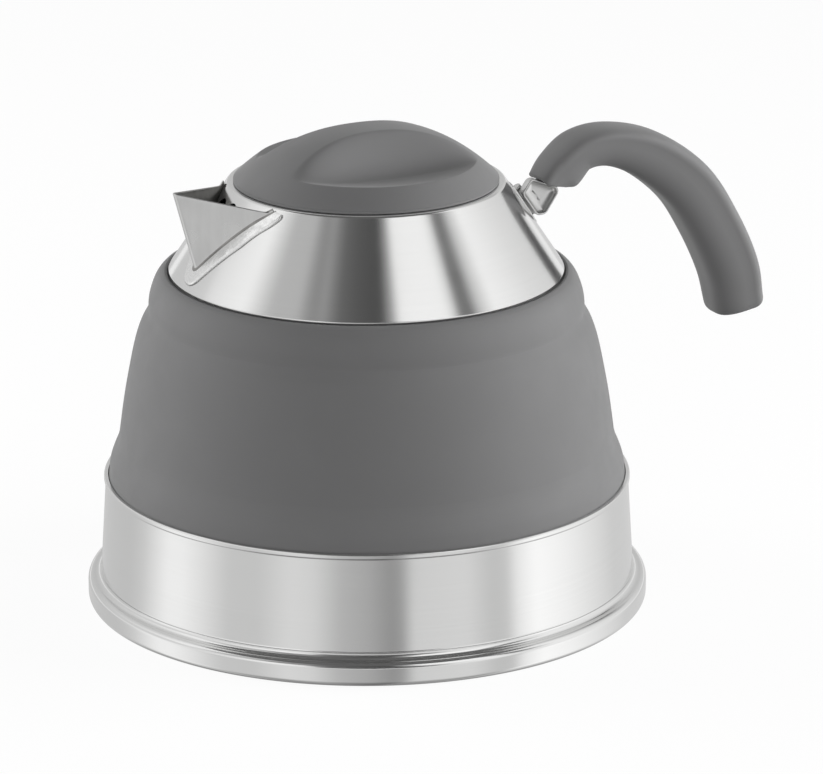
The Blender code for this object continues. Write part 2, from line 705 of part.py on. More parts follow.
def inset(corners, distance):
    """Polygon drawn in by a distance; its corners run anticlockwise."""
    count = len(corners)
    result = []
    for k in range(count):
        here = Vector(corners[k])
        before = (here - Vector(corners[k - 1])).normalized()
        after = (Vector(corners[(k + 1) % count]) - here).normalized()
        square_on = Vector((-before.y, before.x))
        inside = (square_on + Vector((-after.y, after.x))).normalized()
        result.append(tuple(here + inside * distance / inside.dot(square_on)))
    return result


def upright(made):
    """Turn a slab drawn in X and Y so that it lies in the handle's plane, Y going up."""
    made.rotation_euler = (math.pi / 2, 0, 0)
    return made


def bracket(frame, pivot, bore, line):
    """Pressed tray with a rim, whose floor runs on as the tang; two knuckles behind it go round the pin."""
    tray = upright(slab("handle_bracket", TRAY_CORNERS, 0, TRAY_DEPTH, SATIN, frame))
    inside = inset(TRAY_CORNERS, TRAY_RIM)
    pocket = upright(slab("tray_pocket", inside, TRAY_FLOOR, TRAY_DEPTH + OVERRUN, SATIN, frame))
    cut(tray, as_cutter(pocket))
    near = FIXED_KNUCKLE / 2 + GAP
    far = HINGE_LENGTH / 2
    back = PIN_BEHIND + TRAY_FLOOR / 2
    for side, (low, high) in {"low": (-far, -near), "high": (near, far)}.items():
        join(tray, as_cutter(rod(f"{side}_knuckle", KNUCKLE_RADIUS, low, high, SATIN, pivot)))
        web = (-KNUCKLE_RADIUS / 2, -back, low), (KNUCKLE_RADIUS / 2, 0, high)
        join(tray, as_cutter(block(f"{side}_knuckle_web", *web, SATIN, pivot)))
    middle = root_edge()[0]
    outward = (on_curve(line, TANG_AIM_SHARE)[0] - middle).normalized()
    edge = Vector((-outward.y, outward.x))
    inner_end = middle - outward * (TRAY_RIM + TANG_WIDTH / 2)
    outer_end = middle + outward * TANG_LENGTH
    side = edge * TANG_WIDTH / 2
    corners = (inner_end - side, outer_end - side, outer_end + side, inner_end + side)
    strip = [tuple(point) for point in corners]
    join(tray, as_cutter(upright(slab("tang", strip, 0, TRAY_FLOOR, SATIN, frame))))
    cut(tray, bore)
    return tray, middle, outward, edge


def root_edge():
    """Middle of the tray's edge that the grip butts on, the way out of it and the way up along it."""
    low, high = (Vector(TRAY_CORNERS[k]) for k in TRAY_ROOT)
    edge = (high - low).normalized()
    return (low + high) / 2, Vector((edge.y, -edge.x)), edge


def grip_line(hinge):
    """Points of the grip's middle line in the hinge's frame; the first lies on the tray's edge."""
    back = hinge.inverted()
    middle, out, edge = root_edge()
    root = middle + out * GAP - edge * GRIP_ROOT_OFFSET
    seat = Vector((cone_radius(HINGE_HEIGHT), 0, HINGE_HEIGHT))
    return [root] + [(back @ (seat + Vector((out, 0, up)))).xz for out, up in GRIP_LINE]


def on_curve(points, share):
    """Point and direction on the smooth curve (Catmull-Rom) through the points, by share of its spans."""
    spans = len(points) - 1
    place_on = min(max(share, 0.0), 1.0) * spans
    k = min(int(place_on), spans - 1)
    t = place_on - k
    first = points[k]
    last = points[k + 1]
    before = points[k - 1] if k > 0 else first * 2 - last
    after = points[k + 2] if k + 2 <= spans else last * 2 - first
    start = (last - before) / 2
    end = (after - first) / 2
    value = (
        first * (2 * t**3 - 3 * t**2 + 1)
        + start * (t**3 - 2 * t**2 + t)
        + last * (-2 * t**3 + 3 * t**2)
        + end * (t**3 - t**2)
    )
    slope = (
        first * (6 * t**2 - 6 * t)
        + start * (3 * t**2 - 4 * t + 1)
        + last * (6 * t - 6 * t**2)
        + end * (3 * t**2 - 2 * t)
    )
    return value, slope.normalized()


def between(shares, share):
    """Value at a share of the way along a list of evenly spaced shares."""
    spans = len(shares) - 1
    place_on = min(max(share, 0.0), 1.0) * spans
    k = min(int(place_on), spans - 1)
    return shares[k] + (shares[k + 1] - shares[k]) * (place_on - k)


def ring_points(middle, direction, thickness, width, sides, squareness):
    """Rounded section square to a direction in the handle's plane."""
    outside = Vector((-direction.y, direction.x))
    points = []
    for k in range(sides):
        angle = 2 * math.pi * (k + 0.5) / sides
        c = math.cos(angle)
        s = math.sin(angle)
        out = math.copysign(abs(c) ** (2 / squareness), c) * thickness / 2
        across = math.copysign(abs(s) ** (2 / squareness), s) * width / 2
        flat = middle + outside * out
        points.append(Vector((flat.x, across, flat.y)))
    return points


def loft(name, rings, finish, frame):
    """Closed skin over rings of equally many points, capped at both ends."""
    shape = bmesh.new()
    loops = [[shape.verts.new(point) for point in ring] for ring in rings]
    sides = len(loops[0])
    for one, two in zip(loops, loops[1:]):
        for k in range(sides):
            following = (k + 1) % sides
            shape.faces.new((one[k], one[following], two[following], two[k]))
    shape.faces.new(reversed(loops[0]))
    shape.faces.new(loops[-1])
    bmesh.ops.recalc_face_normals(shape, faces=shape.faces)
    mesh = bpy.data.meshes.new(name)
    shape.to_mesh(mesh)
    shape.free()
    return place(name, mesh, finish, frame)


def grip(frame, line):
    rings = []
    square_on = root_edge()[1]
    for k in range(GRIP_STATIONS):
        share = k / (GRIP_STATIONS - 1)
        middle, direction = on_curve(line, share)
        direction = square_on.lerp(direction, min(1.0, share / GRIP_ROOT_SHARE)).normalized()
        thickness = GRIP_THICKNESS * between(GRIP_THICKNESS_SHARES, share)
        width = GRIP_WIDTH * between(GRIP_WIDTH_SHARES, share)
        rings.append(ring_points(middle, direction, thickness, width, GRIP_SIDES, GRIP_SQUARENESS))
    rings.pop()
    for along, share in GRIP_END_SHARES:
        at_end = middle + direction * GRIP_END_ROUND * along
        section = thickness * share, width * share
        rings.append(ring_points(at_end, direction, *section, GRIP_SIDES, GRIP_SQUARENESS))
    return loft("handle_grip", rings, MOULDING, frame)


def core_rings(line, clear, before):
    """Sections of the core, grown by a clearance, with one more before its start if a run is given."""
    size = CORE_THICKNESS + 2 * clear, CORE_WIDTH + 2 * clear
    places = []
    for k in range(CORE_STATIONS):
        share = CORE_START_SHARE + (CORE_END_SHARE - CORE_START_SHARE) * k / (CORE_STATIONS - 1)
        places.append(on_curve(line, share))
    start, first_way = places[0]
    end, last_way = places[-1]
    if before > 0:
        places.insert(0, (start - first_way * before, first_way))
    places[-1] = (end + last_way * clear, last_way)
    return [ring_points(middle, way, *size, CORE_SIDES, GRIP_SQUARENESS) for middle, way in places]


def grip_inside(frame, body, line, tang_middle, tang_out, tang_edge):
    """Core bar with its slot for the tang, and the cavity that holds it, which opens at the grip's root."""
    core = loft("handle_core", core_rings(line, 0, 0), CORE_NYLON, frame)
    cut(body, as_cutter(loft("core_cavity", core_rings(line, GAP, GRIP_THICKNESS), MOULDING, frame)))
    side = tang_edge * (TANG_WIDTH / 2 + GAP)
    near = tang_middle - tang_out * OVERRUN
    far = tang_middle + tang_out * (TANG_LENGTH + GAP)
    strip = [tuple(point) for point in (near - side, far - side, far + side, near + side)]
    slot = as_cutter(upright(slab("tang_slot", strip, -GAP, TRAY_FLOOR + GAP, CORE_NYLON, frame)))
    cut(core, slot)
    cut(body, slot)
    return core


def rivets(frame, tray, core, tang_middle, tang_out):
    """Two rivets through core and tang, each with its hole."""
    half = CORE_WIDTH / 2 - GAP
    for k, end in enumerate(("near", "far")):
        spot = tang_middle + tang_out * (RIVET_INSET + k * RIVET_SPACING)
        rivet = rod(f"core_rivet_{end}", RIVET_RADIUS, -half, half, SATIN, frame)
        reach = half + OVERRUN
        hole = as_cutter(rod(f"rivet_hole_{end}", RIVET_RADIUS + GAP, -reach, reach, SATIN, frame))
        for piece in (rivet, hole):
            upright(piece).location = (spot.x, 0, spot.y)
        cut(core, hole)
        cut(tray, hole)


def handle():
    hinge = hinge_matrix()
    pin_line = hinge @ Matrix.Translation((0, PIN_BEHIND, 0))
    bore = hinge_plate(frame_at("hinge_middle", hinge), frame_at("hinge_axis", pin_line))
    pivot = frame_at("handle_pivot", pin_line)
    frame = frame_at("handle_middle", Matrix.Translation((0, -PIN_BEHIND, 0)))
    frame.parent = pivot
    line = grip_line(hinge)
    tray, middle, outward, edge = bracket(frame, pivot, bore, line)
    body = grip(frame, line)
    core = grip_inside(frame, body, line, middle, outward, edge)
    rivets(frame, tray, core, middle, outward)


def scoop_cutter():
    """Two D shapes, one on each side of the ridge, with rounded floors."""
    start = math.asin(RIDGE_HALF_WIDTH / SCOOP_RADIUS)
    sweep = math.pi - 2 * start
    outline = []
    for k in range(SCOOP_ARC_STEPS + 1):
        angle = start + sweep * k / SCOOP_ARC_STEPS
        outline.append((SCOOP_RADIUS * math.cos(angle), SCOOP_RADIUS * math.sin(angle)))
    made = slab("scoops", outline, SCOOP_FLOOR, LID_TOP + SCOOP_ROUND + OVERRUN, MOULDING)
    soft = made.modifiers.new("round", "BEVEL")
    soft.width = SCOOP_ROUND
    soft.segments = EDGE_STEPS
    soft.limit_method = "ANGLE"
    soft.angle_limit = math.pi / 4
    both = made.modifiers.new("both_sides", "MIRROR")
    both.use_axis = (False, True, False)
    both.merge_threshold = MERGE
    return as_cutter(made)


def lid():
    edge = LID_SEAT + LID_EDGE
    dome = []
    for k in range(LID_DOME_STEPS + 1):
        radius = LID_RADIUS * k / LID_DOME_STEPS
        dome.append((radius, edge + LID_RISE * (1 - (radius / LID_RADIUS) ** LID_DOME_POWER)))
    ceiling = LID_SEAT + LID_POCKET_DEPTH
    boss_low = PLUG_UNDERSIDE + PLUG_WALL + GAP
    bore = SCREW_RADIUS + GAP
    bore_top = boss_low + SCREW_BITE + GAP
    underside = [
        (LID_RADIUS, LID_SEAT + LID_EDGE / 2),
        (LID_RADIUS - LID_EDGE / 2, LID_SEAT),
        (LID_POCKET_RADIUS, LID_SEAT),
        (LID_POCKET_RADIUS, ceiling),
        (LID_BOSS_RADIUS, ceiling),
        (LID_BOSS_RADIUS, boss_low),
        (bore, boss_low),
        (bore, bore_top),
        (0, bore_top),
    ]
    cap = turned("lid_cap", dome + underside, MOULDING)
    cut(cap, scoop_cutter())
    hollow = as_cutter(
        block(
            "ridge_hollow",
            (RIDGE_HOLLOW_START, -RIDGE_HOLLOW_HALF_WIDTH, ceiling - OVERRUN),
            (RIDGE_HOLLOW_END, RIDGE_HOLLOW_HALF_WIDTH, LID_TOP - RIDGE_ROOF),
            MOULDING,
        )
    )
    both = hollow.modifiers.new("both_ends", "MIRROR")
    both.use_axis = (True, False, False)
    both.merge_threshold = MERGE
    cut(cap, hollow)
    flange_radius = LID_POCKET_RADIUS - GAP
    flange_top = ceiling - GAP
    groove_low = PLUG_UNDERSIDE + GROOVE_LAND
    groove_top = groove_low + GROOVE_WIDTH
    inner = PLUG_RADIUS - GROOVE_DEPTH - PLUG_WALL
    hole = SCREW_RADIUS + GAP
    plug = [
        (inner, flange_top),
        (flange_radius, flange_top),
        (flange_radius, flange_top - PLUG_FLANGE_WALL),
        (PLUG_RADIUS, flange_top - PLUG_FLANGE_WALL),
        (PLUG_RADIUS, groove_top),
        (PLUG_RADIUS - GROOVE_DEPTH, groove_top),
        (PLUG_RADIUS - GROOVE_DEPTH, groove_low),
        (PLUG_RADIUS, groove_low),
        (PLUG_RADIUS, PLUG_UNDERSIDE),
        (hole, PLUG_UNDERSIDE),
        (hole, PLUG_UNDERSIDE + PLUG_WALL),
        (inner, PLUG_UNDERSIDE + PLUG_WALL),
    ]
    turned("lid_plug", plug, INNER_STEEL)
    seal_inner = PLUG_RADIUS - GROOVE_DEPTH + GAP
    seal_outer = MOUTH_RADIUS - GAP
    seal_low = groove_low + GAP
    seal_top = groove_top - GAP
    seal = [
        (seal_outer - GROOVE_DEPTH / 2, seal_top, 0),
        (seal_outer, seal_top, GROOVE_DEPTH / 2),
        (seal_outer, seal_low, GROOVE_DEPTH / 2),
        (seal_inner, seal_low, 0),
        (seal_inner, seal_top, 0),
    ]
    turned("lid_seal", rounded(seal), SEAL_SILICONE)
    washer_top = PLUG_UNDERSIDE - GAP
    washer_low = washer_top - WASHER_WALL
    washer = [
        (WASHER_RADIUS, washer_top),
        (WASHER_RADIUS, washer_low),
        (hole, washer_low),
        (hole, washer_top),
    ]
    turned("lid_washer", washer, SATIN, SMALL_STEPS)
    head_top = washer_low - GAP
    screw = [
        (0, boss_low + SCREW_BITE, 0),
        (SCREW_RADIUS, boss_low + SCREW_BITE, 0),
        (SCREW_RADIUS, head_top, 0),
        (SCREW_HEAD_RADIUS, head_top, 0),
        (SCREW_HEAD_RADIUS, head_top - SCREW_HEAD, SCREW_HEAD / 2),
        (0, head_top - SCREW_HEAD, 0),
    ]
    turned("lid_screw", rounded(screw), SATIN, SMALL_STEPS)


heat_base()
pan()
low_clamp, high_clamp = silicone_body()
clamp_rings(low_clamp, high_clamp)
shoulder()
spout()
handle()
lid()
bpy.context.view_layer.update()
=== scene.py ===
"""Looks of the collapsible kettle: fine surfaces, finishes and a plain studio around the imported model.

Metres, +Z up. The spout points to -X and the handle to +X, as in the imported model.
"""

import json
from math import acos, asin, atan2, ceil, cos, pi, radians, sin, sqrt, tan

import bmesh
import bpy
import numpy as np
from mathutils import Matrix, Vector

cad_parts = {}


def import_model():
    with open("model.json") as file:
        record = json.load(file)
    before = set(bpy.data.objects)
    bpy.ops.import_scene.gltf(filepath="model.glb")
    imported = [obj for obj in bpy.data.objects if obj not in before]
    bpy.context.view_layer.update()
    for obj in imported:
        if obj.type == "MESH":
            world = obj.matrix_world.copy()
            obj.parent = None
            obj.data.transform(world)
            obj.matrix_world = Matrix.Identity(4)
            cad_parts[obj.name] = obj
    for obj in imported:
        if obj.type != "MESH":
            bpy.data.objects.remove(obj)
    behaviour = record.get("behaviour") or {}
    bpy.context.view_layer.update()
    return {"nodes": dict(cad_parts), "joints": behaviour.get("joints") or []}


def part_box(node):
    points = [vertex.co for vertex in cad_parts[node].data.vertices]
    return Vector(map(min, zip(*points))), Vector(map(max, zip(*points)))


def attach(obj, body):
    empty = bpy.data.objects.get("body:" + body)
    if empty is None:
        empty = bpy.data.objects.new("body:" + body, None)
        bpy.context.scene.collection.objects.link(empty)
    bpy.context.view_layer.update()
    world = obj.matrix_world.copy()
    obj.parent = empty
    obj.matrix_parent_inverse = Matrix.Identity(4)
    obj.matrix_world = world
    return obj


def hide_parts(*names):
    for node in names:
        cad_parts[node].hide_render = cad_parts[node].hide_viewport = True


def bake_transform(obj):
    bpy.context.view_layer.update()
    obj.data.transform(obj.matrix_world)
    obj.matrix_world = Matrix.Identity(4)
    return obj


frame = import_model()


def outer_radius(node):
    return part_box(node)[1].x


def low(node):
    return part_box(node)[0].z


def high(node):
    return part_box(node)[1].z


# How fine the surfaces are
TURN_STEPS = 288  # points round a large turned piece
SMALL_STEPS = 64  # and round a small one
ARC_STEPS = 8  # stretches of a rounded corner
CONTOUR_STEPS = 6  # the same for the corners and edges of the hinge's plate and tray
TIER_STEPS = 12  # points on the silicone for each row of its tables, before they are evened
SHARP_ANGLE = radians(40)  # edges that turn more than this are shaded sharp
SUPPORT = 0.00012  # distance of the extra line of points beside a rounded edge
LONGEST = 0.0030  # longest stretch without a point on a straight side
GAP = 0.0003  # clearance between pieces

# Heat base
RIM_RADIUS = outer_radius("base_capsule")
RIM_HEIGHT = 0.0079
RIM_TOP_ROUND = 0.0020
RIM_LOW_ROUND = 0.0020
CAPSULE_WALL = 0.0008
LIP_TOP = high("base_capsule")
LIP_FILLET = 0.0018  # hollow between the lip and the rim's top
LIP_SPREAD = 0.0002  # how much further out the lip's foot stands
RIM_DISH = 0.0002  # how deep the rim's top is dished beside the lip
TOUCH = 0.00005  # distance between sheets that lie on each other

# Pan
PAN_FOOT_RADIUS = outer_radius("base_pan")
PAN_TOP_RADIUS = 0.0844
PAN_TOP = high("base_pan")
PAN_FLOOR = low("base_pan")
PAN_WALL = 0.0008
PAN_CORNER = 0.0035
BEAD = 0.0005  # how far the bead stands out
BEAD_HEIGHT = 0.0014
FLARE = 0.0001  # how far the wall flares out at the capsule's lip
FLARE_HEIGHT = 0.0005

# Silicone body
SEAM_DEPTH = 0.0006  # how deep the silicone is drawn in beside the cone's foot
SEAM_WIDTH = 0.0005
SEAM_SHALLOW = SEAM_DEPTH / 4  # how deep it still is at the seam's outer side
SILICONE_WALL = 0.0022
FOOT_WALL = 0.0036  # its thicker foot stands inside the pan
FOOT_DEPTH = 0.0075
LOW_CREASE = (0.0797, 0.0546)
HIGH_CREASE = (0.0698, 0.0958)
HEAD_WALL = 0.0030  # its head stands inside the cone
HEAD_DEPTH = 0.0045
SHOULDER_STEP = 0.0013  # how far the silicone stands out past the cone's foot
CREASE_SOFTNESS = 0.0018  # stretch of the outline over which a crease is rounded
SILICONE_FINE_STEP = 0.00035  # spacing of the points that the creases are rounded with
SILICONE_STEP = 0.0008  # spacing of the points along its outline
SILICONE_INNER_SKIP = 3  # its inner side takes one point in so many
# How a tier runs between its lower and its upper end: (share of the way in, share of the way up)
LOW_TIER_SHARES = ((0.0, 0.0), (0.14, 0.32), (0.46, 0.58), (0.80, 0.80), (1.0, 1.0))
MIDDLE_TIER_SHARES = (
    (0.0, 0.0), (0.05, 0.09), (0.19, 0.32), (0.42, 0.61), (0.575, 0.77), (0.74, 0.885), (0.91, 0.96),
    (1.0, 1.0),
)
HIGH_TIER_SHARES = ((0.0, 0.0), (0.04, 0.30), (0.19, 0.55), (0.43, 0.79), (0.74, 0.95), (1.0, 1.0))

# Clamp rings
CLAMP_WALL = 0.0010

# Shoulder cone
CONE_FOOT_RADIUS = outer_radius("shoulder_cone")
CONE_FOOT = low("shoulder_cone")
CONE_TOP = high("shoulder_cone")
CONE_TOP_RADIUS = 0.0442
CONE_LIP = 0.0004
CONE_LIP_ROUND = 0.0004
CONE_WALL = 0.0008
CONE_EDGE = 0.0012
MOUTH_RADIUS = 0.0382
COLLAR_DEPTH = 0.0090
CONE_SLOPE = atan2(CONE_FOOT_RADIUS - CONE_TOP_RADIUS, CONE_TOP - CONE_FOOT - CONE_LIP)
CONE_RUN = tan(CONE_SLOPE)
CONE_WALL_RUN = CONE_WALL / cos(CONE_SLOPE)  # its sheet's thickness, measured level
HEAD_LOW = CONE_FOOT + CONE_LIP
HEAD_TOP = HEAD_LOW + HEAD_DEPTH
POUR_HOLE_RADIUS = 0.0033
POUR_HOLE_PITCH = 0.0084
POUR_ROW_PITCH = 0.0068
POUR_TOP = 0.1328
POUR_ROWS = 3

# Spout
SPOUT_KEEL_DROP = 0.0230  # from the cone's top down to the foot of the keel
SPOUT_RISE = 0.0034  # how far the tip stands above the cone
SPOUT_KEEL_LEAN = 0.0073
SPOUT_KEEL = np.array((-CONE_TOP_RADIUS - SPOUT_KEEL_DROP * CONE_RUN, 0.0, CONE_TOP - SPOUT_KEEL_DROP))
SPOUT_TIP = SPOUT_KEEL + np.array((-SPOUT_KEEL_LEAN, 0.0, SPOUT_KEEL_DROP + SPOUT_RISE))
SPOUT_CORNER_HEIGHT = CONE_TOP - 0.0016
SPOUT_CORNER_RADIUS = CONE_TOP_RADIUS + 0.0014
SPOUT_HALF_WIDTH = 0.0194
SPOUT_WALL = 0.0008
KEEL_ROUND = 0.0020
FLANGE_WIDTH = 0.0039
FLANGE_WALL = 0.0008
FLANGE_EDGE = 0.0003
FLANGE_END = 0.0036  # over this length the flange's ends are rounded
FLANGE_END_WIDTH = 0.0009
FLANGE_NARROWING = 0.40  # share of its width that the flange loses towards its ends
FLANGE_NARROWING_LENGTH = 0.0120
FLANGE_PAST = 0.0029  # how far the flange runs on past the spout's corners
FLANGE_PAST_FADE = 0.0090
FLANGE_TURN = radians(12)  # how much further sideways than the spout's sheet it runs on there
FOLD_FADE = 0.0040  # the folds get finer where the wall is lower than this
FOLD_LEAST = 0.15
WELD_ROUND = 0.0003  # fillet between the spout's sheet and its flange
SPOUT_END_STEPS = 10  # places near the end of an arm, where the flange is rounded
SPOUT_ARM_STEPS = 40  # and along the rest of the arm
KEEL_STEPS = 13  # and round the keel
# Rows of points across the spout's sheet, from the inner face over the brim and round the flange
INNER_ROWS, BRIM_ROWS, OUTER_ROWS, WELD_ROWS, FLANGE_ROWS, EDGE_ROWS, UNDER_ROWS = 16, 7, 24, 7, 9, 8, 6
PAINTED_SHADE_SHORT = 3  # the painted shade on the spout's inner face ends so many rows before the outer face

# Hinge
HINGE = next(joint for joint in frame["joints"] if joint["name"] == "handle_fold")
PIN_BEHIND = HINGE["pos_m"][1]
KNUCKLE_RADIUS = 0.0016
PIN_RADIUS = 0.0009
PIN_HEAD_RADIUS = 0.0015
PIN_HEAD = 0.0006
HINGE_LENGTH = 0.0100
FIXED_KNUCKLE = 0.0032
PLATE_WALL = 0.0010
PLATE_HALF_WIDTH = 0.0056
PLATE_ABOVE = 0.0120
PLATE_BELOW = 0.0056
PLATE_CORNER = 0.0024
PLATE_EDGE = 0.00025
PLATE_INSET = PLATE_EDGE * 4
PLATE_FACE_ROWS = 4  # contours on its flat face
NEARLY_SHUT = 0.9  # share by which a flat face's last contour is shrunk to its middle
PIN_OFFSET = GAP + PLATE_WALL + GAP + KNUCKLE_RADIUS  # from the cone to the pin's middle
HINGE_HEIGHT = HINGE["pos_m"][2] - PIN_OFFSET * sin(CONE_SLOPE)  # square in from the pin, on the cone

# Bracket: corners of its tray in the hinge's own frame, out from the pin and up along it
TRAY_DEPTH = 0.0030
TRAY_FLOOR = 0.0010
TRAY_RIM = 0.0007
TRAY_CORNER = 0.0021
TRAY_EDGE = 0.0003
TRAY_BOWL = 0.0030  # width over which the tray's floor curves up to its rim
TRAY_FLOOR_ROWS = 3  # contours on its flat floor
RIM_STEPS = 9  # contours over its rim
BOWL_STEPS = 7  # and down the bowl
TRAY_CORNERS = (
    (-0.00095, -0.0049), (0.0019, -0.0066), (0.0111, -0.0031), (0.0046, 0.0069), (-0.00095, 0.0049),
)
TRAY_ROOT = (2, 3)  # the grip butts on the side between these corners
GRIP_ROOT_OFFSET = 0.0023  # how far down that side the grip's middle line starts
TANG_WIDTH = 0.0046  # of the tongue that reaches into the grip
TANG_LENGTH = 0.0190
TANG_AIM_SHARE = 0.24  # it points at this share of the grip's middle line
TANG_AIM_STEPS = 100

# Grip: middle line from the bracket on, as (radius, height); thickness is in the handle's plane
GRIP_LINE = (
    (0.0699, 0.1330), (0.0765, 0.1386), (0.0871, 0.1396), (0.1008, 0.1348), (0.1147, 0.1239),
    (0.1244, 0.1093), (0.1315, 0.0943), (0.1342, 0.0822),
)
GRIP_THICKNESS = 0.0160
GRIP_WIDTH = 0.0244
GRIP_THICKNESS_SHARES = (0.72, 0.93, 0.81, 0.85, 1.02, 1.12, 1.13, 1.13, 1.08)
GRIP_WIDTH_SHARES = (0.60, 0.68, 0.78, 0.82, 0.86, 0.94, 1.0, 1.0, 0.96)
GRIP_SQUARENESS_SHARES = (2.2, 2.4, 2.8, 3.4, 3.9, 4.2, 4.2, 4.0, 3.6)
GRIP_OUTSIDE_SQUARENESS = 2.6  # of the outer, rounder part of a section
GRIP_CREASE_SHARE = 0.34  # where that part starts, of half the thickness out from the middle
GRIP_TAPER = 0.34  # how much narrower a section is on its inner side
GRIP_END_ROUND = 0.0040
GRIP_END_POWER = 0.30  # how soon the rounded end closes; less is flatter
GRIP_ROOT_SHARE = 0.14  # over this share its sections turn square to its line
GRIP_ROOT_FADE = 0.0040  # over this length from the root the overhang fades out
GRIP_ROOT_EDGE = 0.0008
GRIP_OVERHANG = 0.0011  # how far the grip's skin reaches over the front of the tray
GRIP_STATIONS = 180
GRIP_SIDES = 96
GRIP_END_STEPS = 14
GRIP_ROOT_STEPS = 6

# Lid
LID_RADIUS = outer_radius("lid_cap")
LID_SEAT = CONE_TOP + GAP
LID_EDGE = 0.0005
LID_EDGE_START = LID_EDGE * 1.2
LID_SINK = 0.00022  # how far the lid's skirt comes down into the gap above the shoulder
LID_TOP = high("lid_cap")
LID_RISE = LID_TOP - LID_SEAT - LID_EDGE
LID_DOME_POWER = 2.4
LID_POCKET_RADIUS = 0.0364
LID_POCKET_DEPTH = 0.0036
LID_RINGS = 150
SCOOP_RADIUS = 0.0351  # where a scoop runs out on the dome
RIDGE_HALF_WIDTH = 0.0060  # half of the ridge's top that is left between the scoops
RIDGE_SPREAD = 0.0050  # how much wider that half is at the ridge's ends
RIDGE_REACH = 0.0300  # distance of those ends from the middle
SCOOP_FLOOR_DEPTH = 0.0138
RIDGE_SLOPE_WIDTH = 0.0125  # width of the slope from the ridge down to a scoop's floor
SCOOP_RIM_WIDTH = 0.0300  # over this width the floor curves up to the edge of the scoop
LID_BOSS_RADIUS = 0.0044

# Plug, seal and screw
PLUG_RADIUS = outer_radius("lid_plug") - GAP - 0.0011
PLUG_WALL = 0.0012
PLUG_FLANGE_WALL = 0.0010
PLUG_UNDERSIDE = low("lid_plug")
SEAL_GROOVE_DEPTH = 0.0014
SEAL_GROOVE_WIDTH = 0.0038
SEAL_GROOVE_LAND = 0.0012
SEAL_ROUND = SEAL_GROOVE_DEPTH / 3
SCREW_RADIUS = 0.0015
SCREW_HEAD_RADIUS = 0.0034
SCREW_HEAD = 0.0018
SCREW_BITE = 0.0120
WASHER_RADIUS = 0.0048
WASHER_WALL = 0.0006
SMALL_EDGE = 0.0002

# Camera, seen from the front left
CAMERA_PLACE = (-0.6600, -1.3860, 0.5500)
CAMERA_TILT = radians(72.6)
CAMERA_TURN = radians(-26.0)
CAMERA_LENS = 218.7
CAMERA_AZIMUTH = atan2(CAMERA_PLACE[1], CAMERA_PLACE[0])

# Studio
FLOOR_REACH = 6.0
PANEL_STEPS = 361  # one place for each degree all round
FLOOR_COLOUR = 0.90
FLOOR_BOUNCE = 0.25  # the floor's colour for the light that it sends on
FLOOR_GLOW_SHARE = 0.93  # how much of the floor's look is its own white
WORLD_LIGHT = 0.185
AIM = (0.0, 0.0, 0.08)
# Softboxes: (name, turn from the camera's side, elevation, distance, width, height, watts)
SOFTBOXES = (
    ("right_softbox", 92, 8, 1.3, 1.0, 1.2, 40.0),
    ("left_softbox", -108, 8, 1.3, 0.9, 1.2, 26.0),
    ("front_softbox", -15, 2, 1.5, 1.0, 1.0, 18.0),
)
# Brightness of the panels that the steel mirrors, by degrees from the camera's side
STANDING_PANEL = (
    (-180, 0.60), (-130, 0.80), (-84, 1.15), (-72, 0.75), (-66, 0.57), (-49, 0.58), (-43, 0.39),
    (-38, 0.30), (-31, 0.38), (-25, 0.25), (-19, 0.16), (-8, 0.12), (11, 0.08), (18, 0.39), (24, 1.15),
    (55, 1.15), (60, 0.90), (64, 0.16), (71, 0.16), (77, 0.70), (87, 1.15), (119, 0.90), (126, 0.85),
    (140, 0.55), (180, 0.60),
)
LOW_PANEL = (
    (-180, 0.65), (-120, 0.66), (-110, 0.74), (-101, 0.94), (-93, 1.12), (-84, 1.12), (-73, 0.96),
    (-60, 0.72), (-46, 0.71), (-32, 0.88), (-22, 0.83), (-11, 0.58), (0, 0.50), (10, 0.36), (14, 0.42),
    (19, 0.80), (42, 0.85), (53, 0.68), (60, 0.68), (65, 1.05), (75, 1.28), (92, 1.15), (108, 0.98),
    (130, 0.76), (166, 0.70), (180, 0.65),
)
EDGE_PANEL = (
    (-180, 0.60), (-60, 0.90), (-34, 1.15), (-24, 1.00), (-18, 0.20), (0, 0.10), (18, 0.12), (26, 0.35),
    (34, 0.90), (50, 1.10), (64, 0.90), (80, 1.10), (120, 0.90), (180, 0.60),
)
CEILING_PANEL = ((-180, 0.14), (180, 0.14))
LOW_OUTLINE = ((0.0, -1.2, 0.35), (0.8, -1.2, 0.5), (1.6, -1.2, 0.8), (1.6, -1.0, 1), (1.6, 0.0, 1))
# Panels: (name, brightness, short outline as (radius, height, share of the brightness))
PANELS = (
    ("standing_panel", STANDING_PANEL, ((1.6, 0.80, 1), (1.6, 2.4, 1))),
    ("edge_panel", EDGE_PANEL, ((1.6, 0.15, 1), (1.6, 0.79, 1))),
    ("low_panel", LOW_PANEL, LOW_OUTLINE),
    ("ceiling_panel", CEILING_PANEL, ((0.0, 2.4, 1), (1.6, 2.4, 1))),
)

